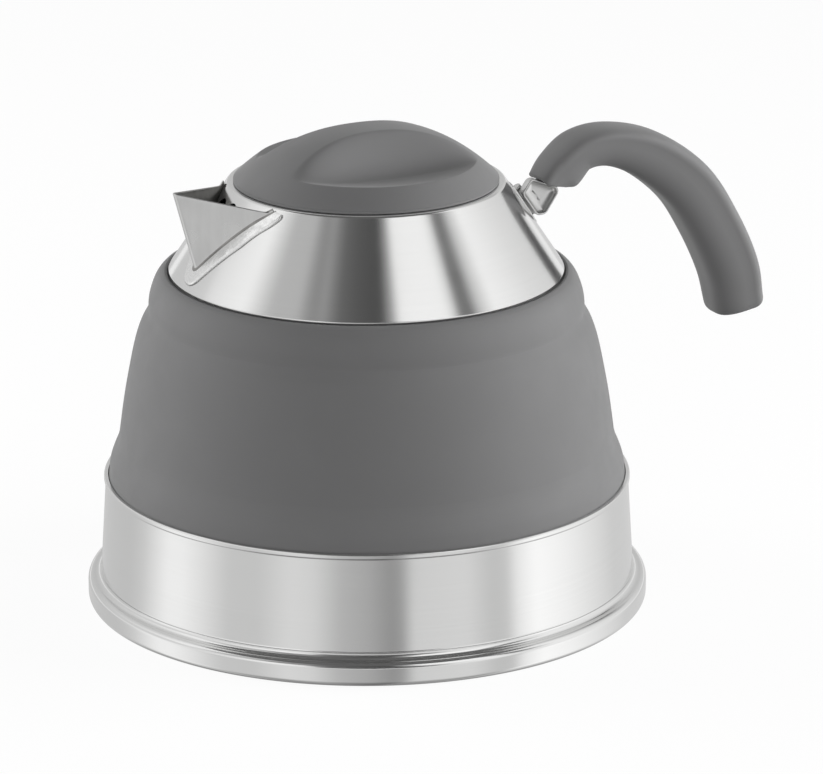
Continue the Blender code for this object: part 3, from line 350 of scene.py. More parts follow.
# Finishes: colour; roughness, metal, sheen and specular level; then three noises as (scale per metre,
# detail, stretch): one with the least and most roughness, one with the factors of the colour, and one
# with the strength and depth of the relief
NOISE_LEAST, NOISE_MOST = 0.3, 0.7
EVEN = (1, 1, 1)
TURNED = (0.3, 0.3, 60)
MACHINED = (0.5, 0.5, 60)
GRAINED = (1, 1, 0.12)
FINISHES = {
    "polished_steel": (
        (0.75, 0.75, 0.745), (0.14, 1, 0, 0.5),
        (28, 3, EVEN, 0.11, 0.17), (30, 3, TURNED, 0.992, 1.008), (30, 3, TURNED, 0.02, 0.00001),
    ),
    "satin_steel": (
        (0.62, 0.62, 0.615), (0.32, 1, 0, 0.5),
        (60, 3, EVEN, 0.24, 0.34), (400, 4, GRAINED, 0.96, 1.04), (400, 4, GRAINED, 0.15, 0.00001),
    ),
    # The spout's flange, hammered and melted in spots
    "welded_steel": (
        (0.82, 0.82, 0.815), (0.22, 1, 0, 0.5),
        (420, 2, EVEN, 0.12, 0.38), (1500, 3, EVEN, 0.93, 1.05), (420, 2, EVEN, 0.6, 0.00025),
    ),
    # The spout's weld, darkened by heat, and its inner face, darkened with painted shade
    "weld_tint_and_painted_shade_steel": (
        (0.30, 0.295, 0.285), (0.34, 1, 0, 0.5),
        (160, 3, EVEN, 0.28, 0.44), (160, 3, EVEN, 0.75, 1.25), (900, 3, EVEN, 0.2, 0.00002),
    ),
    "inner_steel": (
        (0.62, 0.62, 0.61), (0.36, 1, 0, 0.5),
        (30, 3, MACHINED, 0.30, 0.42), (80, 3, EVEN, 0.94, 1.04), (30, 3, MACHINED, 0.2, 0.00002),
    ),
    "aluminium": (
        (0.77, 0.77, 0.78), (0.40, 1, 0, 0.5),
        (60, 2, EVEN, 0.34, 0.46), (700, 3, EVEN, 0.95, 1.03), (700, 3, EVEN, 0.2, 0.00003),
    ),
    "grey_silicone": (
        (0.135, 0.135, 0.136), (0.58, 0, 0.10, 0.35),
        (90, 3, EVEN, 0.53, 0.64), (22, 4, EVEN, 0.975, 1.025), (2600, 3, EVEN, 0.25, 0.00003),
    ),
    "grey_moulding": (
        (0.140, 0.140, 0.141), (0.52, 0, 0.08, 0.4),
        (70, 3, EVEN, 0.46, 0.58), (30, 4, EVEN, 0.975, 1.025), (3200, 2, EVEN, 0.22, 0.00003),
    ),
    "core_nylon": (
        (0.05, 0.05, 0.05), (0.60, 0, 0, 0.5),
        (900, 3, EVEN, 0.52, 0.68), (900, 3, EVEN, 0.9, 1.1),
    ),
    "seal_silicone": (
        (0.55, 0.55, 0.545), (0.55, 0, 0.1, 0.5),
        (1800, 3, EVEN, 0.50, 0.62), (60, 3, EVEN, 0.96, 1.03), (1800, 3, EVEN, 0.2, 0.00003),
    ),
}


def unit(way):
    """Way, or each row of an array of ways, at length 1."""
    return way / np.linalg.norm(way, axis=-1, keepdims=True)


def columns(*parts):
    return np.stack(parts, axis=-1)


def around(radius, angle, height):
    """Places (r cos a, r sin a, z)."""
    x = radius * np.cos(angle)
    return columns(x, radius * np.sin(angle), np.broadcast_to(height, x.shape))


def rounded(corners, steps=ARC_STEPS):
    """Outline through corners (radius, height, rounding), where a rounding above zero becomes an arc.

    The arc starts rounding / tan(half angle) before the corner. Its points are the start, turned about
    the arc's middle in even steps.
    """
    places = np.array([corner[:2] for corner in corners], dtype=float)
    pieces = []
    for k, corner in enumerate(corners):
        here = places[k]
        rounding = corner[2]
        if rounding == 0:
            pieces.append(here[None])
            continue
        before = unit(places[k - 1] - here)
        after = unit(places[(k + 1) % len(places)] - here)
        half = acos(np.clip(before @ after, -1, 1)) / 2
        middle = here + unit(before + after) * rounding / sin(half)
        start = here + before * rounding / tan(half) - middle
        end = here + after * rounding / tan(half) - middle
        sweep = atan2(start[0] * end[1] - start[1] * end[0], start @ end)
        turns = sweep * np.linspace(0, 1, steps + 1)
        across = np.cos(turns) * start[0] - np.sin(turns) * start[1]
        along = np.sin(turns) * start[0] + np.cos(turns) * start[1]
        pieces.append(middle + columns(across, along))
    return np.concatenate(pieces)


def supported(outline, longest=LONGEST):
    """Outline with points a + (b - a) t added on its long sides: one close to each end, even ones between.

    The close ones keep the shading of a rounded edge from spreading over the flat beside it.
    """
    pieces = []
    for a, b in zip(outline[:-1], outline[1:]):
        length = np.linalg.norm(b - a)
        shares = [0.0]
        if length > 4 * SUPPORT:
            inner = SUPPORT / length
            count = max(1, ceil(length / longest))
            shares += list(np.linspace(inner, 1 - inner, count + 1))
        pieces.append(a + (b - a) * np.array(shares)[:, None])
    pieces.append(outline[-1:])
    return np.concatenate(pieces)


def runs_along(places):
    """Length run along a line of places, from its first place to each."""
    return np.concatenate([[0], np.cumsum(np.linalg.norm(np.diff(places, axis=0), axis=1))])


def smooth_curve(points, count):
    """Catmull-Rom curve through the points, with evenly many places on each span.

    On the span from p1 to p2, with slopes m1 = (p2 - p0) / 2 and m2 = (p3 - p1) / 2, the place at t is
    p1 h1(t) + m1 h2(t) + p2 h3(t) + m2 h4(t) with the cubic Hermite weights. Returns places and slopes.
    """
    points = np.asarray(points, dtype=float)
    padded = np.vstack([2 * points[0] - points[1], points, 2 * points[-1] - points[-2]])
    spans = len(points) - 1
    place = np.linspace(0, spans, count)
    k = np.minimum(place.astype(int), spans - 1)
    t = (place - k)[:, None]
    first, last = padded[k + 1], padded[k + 2]
    start, end = (last - padded[k]) / 2, (padded[k + 3] - first) / 2
    value = (
        first * (2 * t**3 - 3 * t**2 + 1)
        + start * (t**3 - 2 * t**2 + t)
        + last * (3 * t**2 - 2 * t**3)
        + end * (t**3 - t**2)
    )
    slope = (
        first * (6 * t**2 - 6 * t)
        + start * (3 * t**2 - 4 * t + 1)
        + last * (6 * t - 6 * t**2)
        + end * (3 * t**2 - 2 * t)
    )
    return value, unit(slope)


def evened(outline, step):
    """Outline with its points set at even distances, read off by the length run along it."""
    runs = runs_along(outline)
    places = np.linspace(0, runs[-1], max(2, int(runs[-1] / step)))
    return np.stack([np.interp(places, runs, column) for column in outline.T], axis=-1)


def softened(outline, reach, step):
    """Outline whose creases are rounded: each point is the mean of the points within reach along it."""
    even = evened(outline, step)
    width = max(1, int(reach / step / 2))
    weights = np.hanning(2 * width + 3)[1:-1]
    weights /= weights.sum()
    head = 2 * even[:1] - even[1 : width + 1][::-1]
    tail = 2 * even[-1:] - even[-width - 1 : -1][::-1]
    padded = np.vstack([head, even, tail])
    return np.stack([np.convolve(padded[:, k], weights, "valid") for k in range(2)], axis=-1)


def walled(path, wall):
    """Loop round a sheet: the path, then back along the path moved by the wall, square to its run."""
    run = unit(np.gradient(path, axis=0))
    right = columns(run[:, 1], -run[:, 0])
    return np.vstack([path, (path + right * wall)[::-1]])


def shaded_smooth(mesh):
    mesh.shade_smooth()
    mesh.set_sharp_from_angle(angle=SHARP_ANGLE)
    return mesh


def mesh_from(name, points, faces):
    """Mesh from arrays of points and faces, with its normals turned outwards and its sharp edges kept."""
    mesh = bpy.data.meshes.new(name)
    mesh.from_pydata(points.tolist(), [], faces)
    shape = bmesh.new()
    shape.from_mesh(mesh)
    bmesh.ops.recalc_face_normals(shape, faces=shape.faces)
    shape.to_mesh(mesh)
    shape.free()
    return shaded_smooth(mesh)


def skin(name, rings, finish, looped=False):
    """Closed surface over rings of equally many points.

    A face joins points i and i + 1 of rings j and j + 1, and i wraps round. A looped skin joins its last
    ring to its first; another is closed at both ends by triangles to the middle of the end ring.
    """
    count, sides = rings.shape[:2]
    points = rings.reshape(-1, 3)
    index = np.arange(count * sides).reshape(count, sides)
    if looped:
        index = np.vstack([index, index[:1]])
    beside = np.roll(index, -1, axis=1)
    faces = columns(index[:-1], index[1:], beside[1:], beside[:-1]).reshape(-1, 4).tolist()
    if not looped:
        points = np.vstack([points, rings[[0, -1]].mean(axis=1)])
        ends = np.full(sides, count * sides)
        faces += columns(index[0], beside[0], ends).tolist()
        faces += columns(beside[-1], index[-1], ends + 1).tolist()
    made = bpy.data.objects.new(name, mesh_from(name, points, faces))
    bpy.context.scene.collection.objects.link(made)
    made.data.materials.append(finish)
    return made


def turned_rings(outline, steps):
    """Point (j, i) is (r cos a, r sin a, z) for outline point j = (r, z) and a = 2 pi i / steps."""
    return around(outline[:, :1], 2 * pi * np.arange(steps) / steps, outline[:, 1:])


def spun(name, outline, finish, looped=True, steps=TURN_STEPS, matrix=None):
    """Solid of revolution about Z, or about the Z axis of a matrix."""
    rings = turned_rings(np.asarray(outline), steps)
    if matrix is not None:
        rings = moved(rings, matrix)
    return skin(name, rings, finish, looped)


def turned(name, corners, finish, looped=True, **spin):
    """Solid spun from corners (radius, height, rounding), run round as a loop or from axis to axis."""
    outline = rounded(corners)
    if looped:
        return spun(name, supported(np.vstack([outline, outline[:1]]))[:-1], finish, **spin)
    return spun(name, supported(outline), finish, looped=False, **spin)


def moved(points, matrix):
    """Points carried by a 4 by 4 matrix."""
    turn = np.array(matrix.to_3x3())
    return points @ turn.T + np.array(matrix.translation)


def box_solid(name, lowest, highest, finish, matrix):
    """Box between two corners, in the frame of a matrix."""
    corners = ((0, 0), (1, 0), (1, 1), (0, 1))
    unit_box = np.array([[(x, y, z) for x, y in corners] for z in (0.0, 1.0)])
    size = np.subtract(highest, lowest)
    return skin(name, moved(unit_box * size + np.array(lowest), matrix), finish)


def combine(made, others, operation):
    """Cut or join other closed shapes into a piece, keep the result as its mesh and remove the others."""
    for other in others:
        step = made.modifiers.new(other.name, "BOOLEAN")
        step.object = other
        step.operation = operation
        step.solver = "EXACT"
    bpy.context.view_layer.update()
    ready = made.evaluated_get(bpy.context.evaluated_depsgraph_get())
    mesh = bpy.data.meshes.new_from_object(ready)
    made.modifiers.clear()
    made.data = shaded_smooth(mesh)
    for other in others:
        bpy.data.objects.remove(other, do_unlink=True)
    return made


def dress(made, body, slot, *nodes):
    """A piece rides on its body and stands for its nodes, which are hidden. The slot is not used."""
    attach(made, body)
    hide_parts(*nodes)


def new_material(name):
    material = bpy.data.materials.new(name)
    material.use_nodes = True
    return material, material.node_tree


def node(tree, kind, values=(), sources=(), **settings):
    """Outputs of a new shader node: its settings, then plain values and links for its sockets."""
    made = tree.nodes.new("ShaderNode" + kind)
    for setting, value in settings.items():
        setattr(made, setting, value)
    for socket, value in dict(values).items():
        made.inputs[socket].default_value = value
    for socket, source in dict(sources).items():
        tree.links.new(source, made.inputs[socket])
    return made.outputs


def noise(tree, scale, detail, stretch):
    """Noise of a scale per metre in the object's coordinates, drawn out where the stretch is below 1."""
    place = node(tree, "TexCoord")["Object"]
    fit = node(tree, "Mapping", {"Scale": stretch}, {"Vector": place})["Vector"]
    return node(tree, "TexNoise", {"Scale": scale, "Detail": detail}, {"Vector": fit})["Fac"]


def ranged(tree, value, lowest, highest):
    """A noise value spread from one number to another."""
    limits = {"From Min": NOISE_LEAST, "From Max": NOISE_MOST, "To Min": lowest, "To Max": highest}
    return node(tree, "MapRange", limits, {"Value": value})["Result"]


def surface(name, colour, plain, rough, shade, relief=None):
    """Material whose noises move its roughness, multiply its colour and, where it has relief, dent it."""
    material, tree = new_material(name)
    sockets = tree.nodes["Principled BSDF"].inputs
    sockets["Base Color"].default_value = (*colour, 1)
    for socket, value in zip(("Roughness", "Metallic", "Sheen Weight", "Specular IOR Level"), plain):
        sockets[socket].default_value = value
    tree.links.new(ranged(tree, noise(tree, *rough[:3]), *rough[3:]), sockets["Roughness"])
    ends = {end: (*[min(1.0, c * factor) for c in colour], 1) for end, factor in zip("AB", shade[3:])}
    share = ranged(tree, noise(tree, *shade[:3]), 0, 1)
    mixed = node(tree, "Mix", ends, {"Factor": share}, data_type="RGBA")
    tree.links.new(mixed["Result"], sockets["Base Color"])
    if relief:
        depth = {"Strength": relief[3], "Distance": relief[4]}
        dents = node(tree, "Bump", depth, {"Height": noise(tree, *relief[:3])})
        tree.links.new(dents["Normal"], sockets["Normal"])
    return material


POLISHED, SATIN, WELDED, WELD_TINT_AND_PAINTED_SHADE, INNER, ALUMINIUM, SILICONE, MOULDING, NYLON, SEAL = (
    surface(name, *looks) for name, looks in FINISHES.items()
)


def heat_base():
    """Dish under the pan: a lip that lies against the pan, a slightly dished top and the rounded rim."""
    inside = RIM_RADIUS - CAPSULE_WALL
    under_rim = PAN_FLOOR - CAPSULE_WALL
    lip = pan_outer_radius(LIP_TOP) + TOUCH
    lip_out = lip + FLARE
    corners = [
        (inside, CAPSULE_WALL, 0), (inside, under_rim, 0), (PAN_FOOT_RADIUS + GAP, under_rim, 0),
        (lip, LIP_TOP, 0), (lip_out, LIP_TOP, TOUCH),
        (lip_out + LIP_SPREAD, RIM_HEIGHT - RIM_DISH, LIP_FILLET),
        (RIM_RADIUS, RIM_HEIGHT, RIM_TOP_ROUND), (RIM_RADIUS, 0, RIM_LOW_ROUND), (SUPPORT, 0, 0),
    ]
    made = turned("heat_base_dish", corners, POLISHED, looped=False)
    dress(made, "base", "polished_steel", "base_capsule")


def pan_inner_radius(height):
    share = (height - PAN_FLOOR) / (PAN_TOP - PAN_FLOOR)
    return PAN_FOOT_RADIUS + (PAN_TOP_RADIUS - PAN_FOOT_RADIUS) * share - PAN_WALL


def pan_outer_radius(height):
    return pan_inner_radius(height) + PAN_WALL


def pan():
    """Drawn pan: a rounded bead at its top, and a slight flare above the lip of the heat base."""
    flare = LIP_TOP + FLARE_HEIGHT
    foot = LIP_TOP + TOUCH
    under_bead = PAN_TOP - BEAD_HEIGHT
    corners = [
        (SUPPORT, PAN_FLOOR + PAN_WALL, 0),
        (pan_inner_radius(PAN_FLOOR), PAN_FLOOR + PAN_WALL, PAN_CORNER),
        (pan_inner_radius(PAN_TOP), PAN_TOP, 0), (PAN_TOP_RADIUS + BEAD, PAN_TOP, BEAD),
        (PAN_TOP_RADIUS + BEAD, under_bead, BEAD), (PAN_TOP_RADIUS, under_bead - BEAD, BEAD / 2),
        (pan_outer_radius(flare), flare, FLARE_HEIGHT / 2),
        (pan_outer_radius(LIP_TOP) + FLARE, foot, SUPPORT), (pan_outer_radius(LIP_TOP), foot, 0),
        (PAN_FOOT_RADIUS, PAN_FLOOR, PAN_WALL), (SUPPORT, PAN_FLOOR, 0),
    ]
    dress(turned("steel_pan", corners, POLISHED, looped=False), "base", "polished_steel", "base_pan")


def tier(lower, upper, shares):
    """Points of one tier, bottom to top, with a smooth curve through its table of shares."""
    smooth, _ = smooth_curve(shares, TIER_STEPS * len(shares))
    return np.array(lower) + (np.array(upper) - np.array(lower)) * smooth


def cone_radius(height):
    return CONE_TOP_RADIUS + (CONE_TOP - height) * CONE_RUN


def silicone():
    """Body in three tiers, whose inner side is the outer one moved in by the wall.

    Returns the outer radii of the clamp rings that fit inside its foot and its head.
    """
    foot_radius = pan_inner_radius(PAN_TOP) - GAP
    foot_inside = foot_radius - FOOT_WALL
    foot_low = PAN_TOP - FOOT_DEPTH
    ledge = CONE_FOOT - GAP
    head_radius = CONE_FOOT_RADIUS - CONE_WALL_RUN - GAP
    head_inside = head_radius - HEAD_WALL
    top_radius = cone_radius(HEAD_TOP) - CONE_WALL_RUN - GAP
    wall = np.vstack([
        tier((foot_radius, PAN_TOP), LOW_CREASE, LOW_TIER_SHARES),
        tier(LOW_CREASE, HIGH_CREASE, MIDDLE_TIER_SHARES)[1:],
        tier(HIGH_CREASE, (CONE_FOOT_RADIUS + SHOULDER_STEP, ledge), HIGH_TIER_SHARES)[1:],
    ])
    wall = evened(softened(wall, CREASE_SOFTNESS, SILICONE_FINE_STEP), SILICONE_STEP)
    thin = wall[wall[:, 1] < ledge - SILICONE_WALL] - (SILICONE_WALL, 0)
    thin = thin[(thin[:, 0] < foot_inside) & (thin[:, 0] > head_inside + SUPPORT)][::SILICONE_INNER_SKIP]
    seam = ledge - SEAM_DEPTH
    outline = np.vstack([
        [(top_radius, HEAD_TOP), (head_radius, HEAD_LOW), (head_radius, seam), (CONE_FOOT_RADIUS, seam)],
        [(CONE_FOOT_RADIUS + SEAM_WIDTH, ledge - SEAM_SHALLOW)],
        wall[::-1],
        [(foot_radius, foot_low), (foot_inside, foot_low)],
        thin,
        [(head_inside, thin[-1][1]), (head_inside, HEAD_LOW), (top_radius - HEAD_WALL, HEAD_TOP)],
        [(top_radius, HEAD_TOP)],
    ])
    made = spun("silicone_wall", supported(outline)[:-1], SILICONE)
    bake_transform(made)
    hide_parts("silicone_body")
    return foot_inside - GAP, head_inside - GAP


def clamp_rings(low_radius, high_radius):
    """Two rings: one inside the foot of the silicone and one inside its head."""
    top = PAN_TOP - FOOT_DEPTH - GAP
    under = top - CLAMP_WALL
    edge = pan_inner_radius(under) - GAP
    inside = low_radius - CLAMP_WALL
    lower = [
        (low_radius, PAN_TOP, SMALL_EDGE), (low_radius, top, 0), (edge, top, SMALL_EDGE),
        (edge, under, SMALL_EDGE), (inside, under, CLAMP_WALL), (inside, PAN_TOP, SMALL_EDGE),
    ]
    dress(turned("low_clamp", lower, INNER), "base", "inner_steel", "lower_clamp_ring")
    foot = CONE_FOOT - GAP - SILICONE_WALL
    under = HEAD_TOP + GAP
    top = under + CLAMP_WALL
    top_radius = high_radius - HEAD_DEPTH * CONE_RUN
    edge = cone_radius(top) - CONE_WALL_RUN - GAP
    inside = high_radius - CLAMP_WALL
    upper = [
        (edge, top, SMALL_EDGE), (edge, under, 0), (top_radius, under, 0), (top_radius, HEAD_TOP, 0),
        (high_radius, HEAD_LOW, 0), (high_radius, foot, SMALL_EDGE), (inside, foot, SMALL_EDGE),
        (inside, HEAD_LOW, 0), (top_radius - CLAMP_WALL, HEAD_TOP, 0),
        (top_radius - CLAMP_WALL, top, CLAMP_WALL / 2),
    ]
    dress(turned("high_clamp", upper, INNER), "upper", "inner_steel", "upper_clamp_ring")


def pour_hole_cutters():
    """One cylinder for each hole, square to the cone, in rows that get shorter downwards."""
    depth = CONE_FOOT_RADIUS - CONE_TOP_RADIUS
    outline = np.array([(POUR_HOLE_RADIUS, depth), (POUR_HOLE_RADIUS, -depth)])
    lean = Matrix.Rotation(CONE_SLOPE - pi / 2, 4, "Y")
    cutters = []
    for row in range(POUR_ROWS):
        height = POUR_TOP - row * POUR_ROW_PITCH
        count = POUR_ROWS - row
        for k in range(count):
            across = (k - (count - 1) / 2) * POUR_HOLE_PITCH
            here = Matrix.Translation((-cone_radius(height), across, height)) @ lean
            name = f"pour_hole_{row}_{k}"
            cutters.append(spun(name, outline, INNER, looped=False, steps=SMALL_STEPS, matrix=here))
    return cutters


def shoulder():
    """Sheet cone with the mouth's collar, cut by the pour holes."""
    corners = [
        (MOUTH_RADIUS, CONE_TOP - COLLAR_DEPTH, 0), (MOUTH_RADIUS, CONE_TOP, CONE_EDGE),
        (CONE_TOP_RADIUS, CONE_TOP, CONE_EDGE), (CONE_FOOT_RADIUS, CONE_FOOT + CONE_LIP, CONE_LIP_ROUND),
        (CONE_FOOT_RADIUS, CONE_FOOT, 0),
    ]
    made = spun("steel_shoulder", walled(supported(rounded(corners)), CONE_WALL), POLISHED)
    combine(made, pour_hole_cutters(), "DIFFERENCE")
    dress(made, "upper", "polished_steel", "shoulder_cone")


def spout_base():
    """Frame of the spout.

    Returns the way up along its keel, the way in towards the axis, half the angle between its arms, their
    length and the slope of its brim.
    """
    up = unit(SPOUT_TIP - SPOUT_KEEL)
    inward = np.cross((0, 1, 0), up)
    out = sqrt(SPOUT_CORNER_RADIUS**2 - SPOUT_HALF_WIDTH**2)
    reach = np.array((-out, SPOUT_HALF_WIDTH, SPOUT_CORNER_HEIGHT)) - SPOUT_TIP
    flat = np.array((reach @ inward - KEEL_ROUND, reach[1]))
    half = atan2(flat[1], flat[0]) - asin(KEEL_ROUND / np.linalg.norm(flat))
    arm = sqrt(flat @ flat - KEEL_ROUND**2)
    slope = (SPOUT_TIP[2] - SPOUT_CORNER_HEIGHT) / (SPOUT_TIP[0] + out)
    return up, inward, half, arm, slope


def both_arms(near, keel):
    """Rows for one arm of the V, round its keel and back along the mirrored arm."""
    return np.vstack([near, keel, near[::-1] * (1, -1)])


def within(count):
    """Even shares between 0 and 1, without both ends."""
    return np.linspace(0, 1, count + 2)[1:-1]


def onwards(count):
    """Even shares from 0 to 1, without the start."""
    return np.linspace(0, 1, count + 1)[1:]


def spout():
    """Folded V of sheet with a flange that lies on the cone.

    A place on the V has a base point and an outward way in the section square to the keel: along one
    arm, round the keel by an arc, and along the other arm. Moved outwards by w it starts a line along the
    keel's way, which meets the cone, raised by d square to its slope, at t(w, d), the lower root of a
    quadratic. The profile of (w, t) runs up the inner face, over the brim, down the outer face, through a
    fillet and round the flange.
    """
    up, inward, half, arm, slope = spout_base()
    runs = np.concatenate([
        arm - np.geomspace(SUPPORT, FLANGE_END, SPOUT_END_STEPS) + SUPPORT,
        np.linspace(arm - FLANGE_END, 0, SPOUT_ARM_STEPS)[1:],
    ])
    sine, cosine = sin(half), cos(half)
    angles = -pi / 2 - half - (pi - 2 * half) * within(KEEL_STEPS)
    arc = columns(np.cos(angles), np.sin(angles))
    near = columns(KEEL_ROUND * (1 - sine) + runs * cosine, -KEEL_ROUND * cosine - runs * sine)
    base = both_arms(near, (KEEL_ROUND, 0) + KEEL_ROUND * arc)
    ways = both_arms(np.tile((-sine, -cosine), (len(runs), 1)), arc)
    aim = half + FLANGE_TURN
    along = both_arms(np.tile((cos(aim), -sin(aim)), (len(runs), 1)), np.zeros_like(arc))
    left = arm - np.concatenate([runs, np.zeros(len(arc)), runs[::-1]])
    from_end = np.clip(left / FLANGE_END, 0, 1)
    full = 1 - FLANGE_NARROWING * np.clip(1 - left / FLANGE_NARROWING_LENGTH, 0, 1)
    full = full * (FLANGE_WIDTH - FLANGE_EDGE)
    width = FLANGE_END_WIDTH + (full - FLANGE_END_WIDTH) * np.sqrt(1 - (1 - from_end) ** 2)
    fade = np.clip(1 - left / FLANGE_PAST_FADE, 0, 1) ** 2

    def start_of(w):
        """Foot of the line that starts at offset w, for each s."""
        on = FLANGE_PAST * fade * np.sin(pi / 2 * np.clip(w / FLANGE_END_WIDTH, 0, 1))
        flat = base + ways * w[:, None] + along * on[:, None]
        return SPOUT_KEEL + flat[:, :1] * inward + flat[:, 1:] * np.array((0, 1, 0))

    def on_cone(w, d):
        x, y, z = start_of(w).T
        reach = CONE_TOP_RADIUS + CONE_TOP * CONE_RUN + d / cos(CONE_SLOPE) - CONE_RUN * z
        a = up[0] ** 2 - (CONE_RUN * up[2]) ** 2
        b = 2 * (x * up[0] + reach * CONE_RUN * up[2])
        c = x**2 + y**2 - reach**2
        return (-b + np.sqrt(b**2 - 4 * a * c)) / (2 * a)

    def on_brim(w):
        foot = start_of(w)
        rise = SPOUT_TIP[2] + slope * (foot[:, 0] - SPOUT_TIP[0]) - foot[:, 2]
        return rise / (up[2] - slope * up[0])

    outer = np.zeros(len(base))
    inner = outer - SPOUT_WALL
    top = TOUCH + FLANGE_WALL
    fold = np.clip((on_brim(outer) - on_cone(outer, top)) / FOLD_FADE, FOLD_LEAST, 1)
    weld = WELD_ROUND * fold
    brim_round = SPOUT_WALL / 2 * fold
    inner_low = on_cone(inner, TOUCH)
    outer_low = on_cone(outer, top + weld)
    inner_least = on_cone(inner, top + weld) + SUPPORT / 2
    brim_inner = np.maximum(on_brim(inner) - brim_round, inner_least)
    brim_outer = np.maximum(on_brim(outer) - brim_round, outer_low + SUPPORT / 2)
    rows = [(inner, inner_low + (brim_inner - inner_low) * u) for u in np.linspace(0, 1, INNER_ROWS)]
    for angle in pi * within(BRIM_ROWS):
        over = (1 - cos(angle)) / 2
        rise = brim_round * sin(angle)
        rows.append((inner * (1 - over), brim_inner + (brim_outer - brim_inner) * over + rise))
    rows += [(outer, brim_outer + (outer_low - brim_outer) * u) for u in np.linspace(0, 1, OUTER_ROWS)]
    for angle in pi / 2 * onwards(WELD_ROWS):
        w = weld * (1 - cos(angle))
        rows.append((w, on_cone(w, top + weld * (1 - sin(angle)))))
    for u in onwards(FLANGE_ROWS):
        w = weld + (width - weld) * u
        rows.append((w, on_cone(w, top)))
    for angle in pi * onwards(EDGE_ROWS):
        w = width + FLANGE_EDGE * sin(angle)
        rows.append((w, on_cone(w, TOUCH + FLANGE_WALL * (1 + cos(angle)) / 2)))
    for u in within(UNDER_ROWS):
        w = width + (inner - width) * u
        rows.append((w, on_cone(w, TOUCH)))
    made = skin("pouring_spout", np.stack([start_of(w) + t[:, None] * up for w, t in rows], axis=1), SATIN)
    made.data.materials.append(WELDED)
    made.data.materials.append(WELD_TINT_AND_PAINTED_SHADE)
    outside = INNER_ROWS + BRIM_ROWS
    fillet = outside + OUTER_ROWS
    # Index 2 paints shade on the inner face and the inner part of the brim, and gives the weld's fillet its
    # heat tint; index 1 is the flange
    kinds = np.zeros(len(rows))
    kinds[: outside - PAINTED_SHADE_SHORT] = 2
    kinds[fillet : fillet + WELD_ROWS] = 2
    kinds[fillet + WELD_ROWS :] = 1
    kinds = np.tile(kinds, len(base) - 1)
    ends = np.ones(len(made.data.polygons) - len(kinds))
    made.data.polygons.foreach_set("material_index", np.concatenate([kinds, ends]).astype(np.int32))
    dress(made, "upper", "satin_steel", "spout")


def hinge_frame():
    """Two matrices with X out from the cone, Y across and Z up the pin: mid-kettle and on the pin's axis."""
    axis = np.array(HINGE["axis"])
    out = np.array((axis[2], 0, -axis[0]))
    place = HINGE["pos_m"]
    turn = Matrix(columns(out, (0, 1, 0), axis).tolist()).to_4x4()
    return Matrix.Translation((place[0], 0, place[2])) @ turn, Matrix.Translation(place) @ turn


def contour(corners, inset, rounding, shrink=0.0):
    """Convex outline drawn in by an inset, with its corners rounded, then shrunk towards its middle.

    Each side moves in along its own normal, neighbours meet again at the new corner, and the rounding
    loses what the inset takes, so all contours of one outline have the same number of points.
    """
    corners = np.array(corners, dtype=float)
    after = unit(np.roll(corners, -1, axis=0) - corners)
    normal = columns(-after[:, 1], after[:, 0])
    both = unit(normal + np.roll(normal, 1, axis=0))
    drawn = corners + both * inset / np.sum(both * normal, axis=1, keepdims=True)
    rest = max(rounding - inset, rounding / 4)
    outline = rounded([(x, y, rest) for x, y in drawn], CONTOUR_STEPS)
    middle = outline.mean(axis=0)
    return middle + (outline - middle) * (1 - shrink)


def on_shoulder(points, raised):
    """Places on the cone for (up along the slope, across), raised square to the slope."""
    height = HINGE_HEIGHT + points[:, 0] * cos(CONE_SLOPE)
    radius = cone_radius(height) + raised / cos(CONE_SLOPE)
    return around(radius, points[:, 1] / radius, height)


def rod(name, radius, start, end, matrix):
    """Cylinder with slightly rounded ends, along the Z axis of a matrix."""
    corners = [(SUPPORT, end, 0), (radius, end, SMALL_EDGE), (radius, start, SMALL_EDGE), (SUPPORT, start, 0)]
    return turned(name, corners, SATIN, looped=False, steps=SMALL_STEPS, matrix=matrix)


def hinge_plate(pin_matrix):
    """Plate whose contours lie on the cone, with the fixed knuckle and its web joined to it."""
    corners = [
        (-PLATE_BELOW, -PLATE_HALF_WIDTH), (PLATE_ABOVE, -PLATE_HALF_WIDTH),
        (PLATE_ABOVE, PLATE_HALF_WIDTH), (-PLATE_BELOW, PLATE_HALF_WIDTH),
    ]
    face = GAP + PLATE_WALL
    layers = [(PLATE_INSET, NEARLY_SHUT, GAP), (PLATE_INSET, 0, GAP), (0, 0, GAP)]
    for angle in np.linspace(0, pi / 2, CONTOUR_STEPS):
        layers.append((PLATE_EDGE * (1 - cos(angle)), 0, face - PLATE_EDGE * (1 - sin(angle))))
    layers += [(PLATE_EDGE + SUPPORT, 0, face), (PLATE_INSET, 0, face)]
    layers += [(PLATE_INSET, share, face) for share in (*within(PLATE_FACE_ROWS), NEARLY_SHUT)]
    rings = np.stack([
        on_shoulder(contour(corners, inset, PLATE_CORNER, shrink), raised) for inset, shrink, raised in layers
    ])
    made = skin("hinge_plate", rings, SATIN)
    half = FIXED_KNUCKLE / 2
    knuckle = rod("fixed_knuckle", KNUCKLE_RADIUS, -half, half, pin_matrix)
    side = KNUCKLE_RADIUS / 2
    web = box_solid("fixed_web", (GAP - PIN_OFFSET, -side, -half), (0, side, half), SATIN, pin_matrix)
    combine(made, [knuckle, web], "UNION")
    dress(made, "upper", "satin_steel", "handle_plate")
    end = HINGE_LENGTH / 2 + GAP
    pin = [
        (SUPPORT, end + PIN_HEAD, 0), (PIN_HEAD_RADIUS, end + PIN_HEAD, PIN_HEAD / 2),
        (PIN_HEAD_RADIUS, end, 0), (PIN_RADIUS, end, 0), (PIN_RADIUS, -end, 0),
        (PIN_HEAD_RADIUS, -end, 0), (PIN_HEAD_RADIUS, -end - PIN_HEAD / 2, SMALL_EDGE),
        (SUPPORT, -end - PIN_HEAD / 2, 0),
    ]
    made = turned("handle_pin", pin, SATIN, looped=False, steps=SMALL_STEPS, matrix=pin_matrix)
    dress(made, "upper", "satin_steel", "hinge_pin")


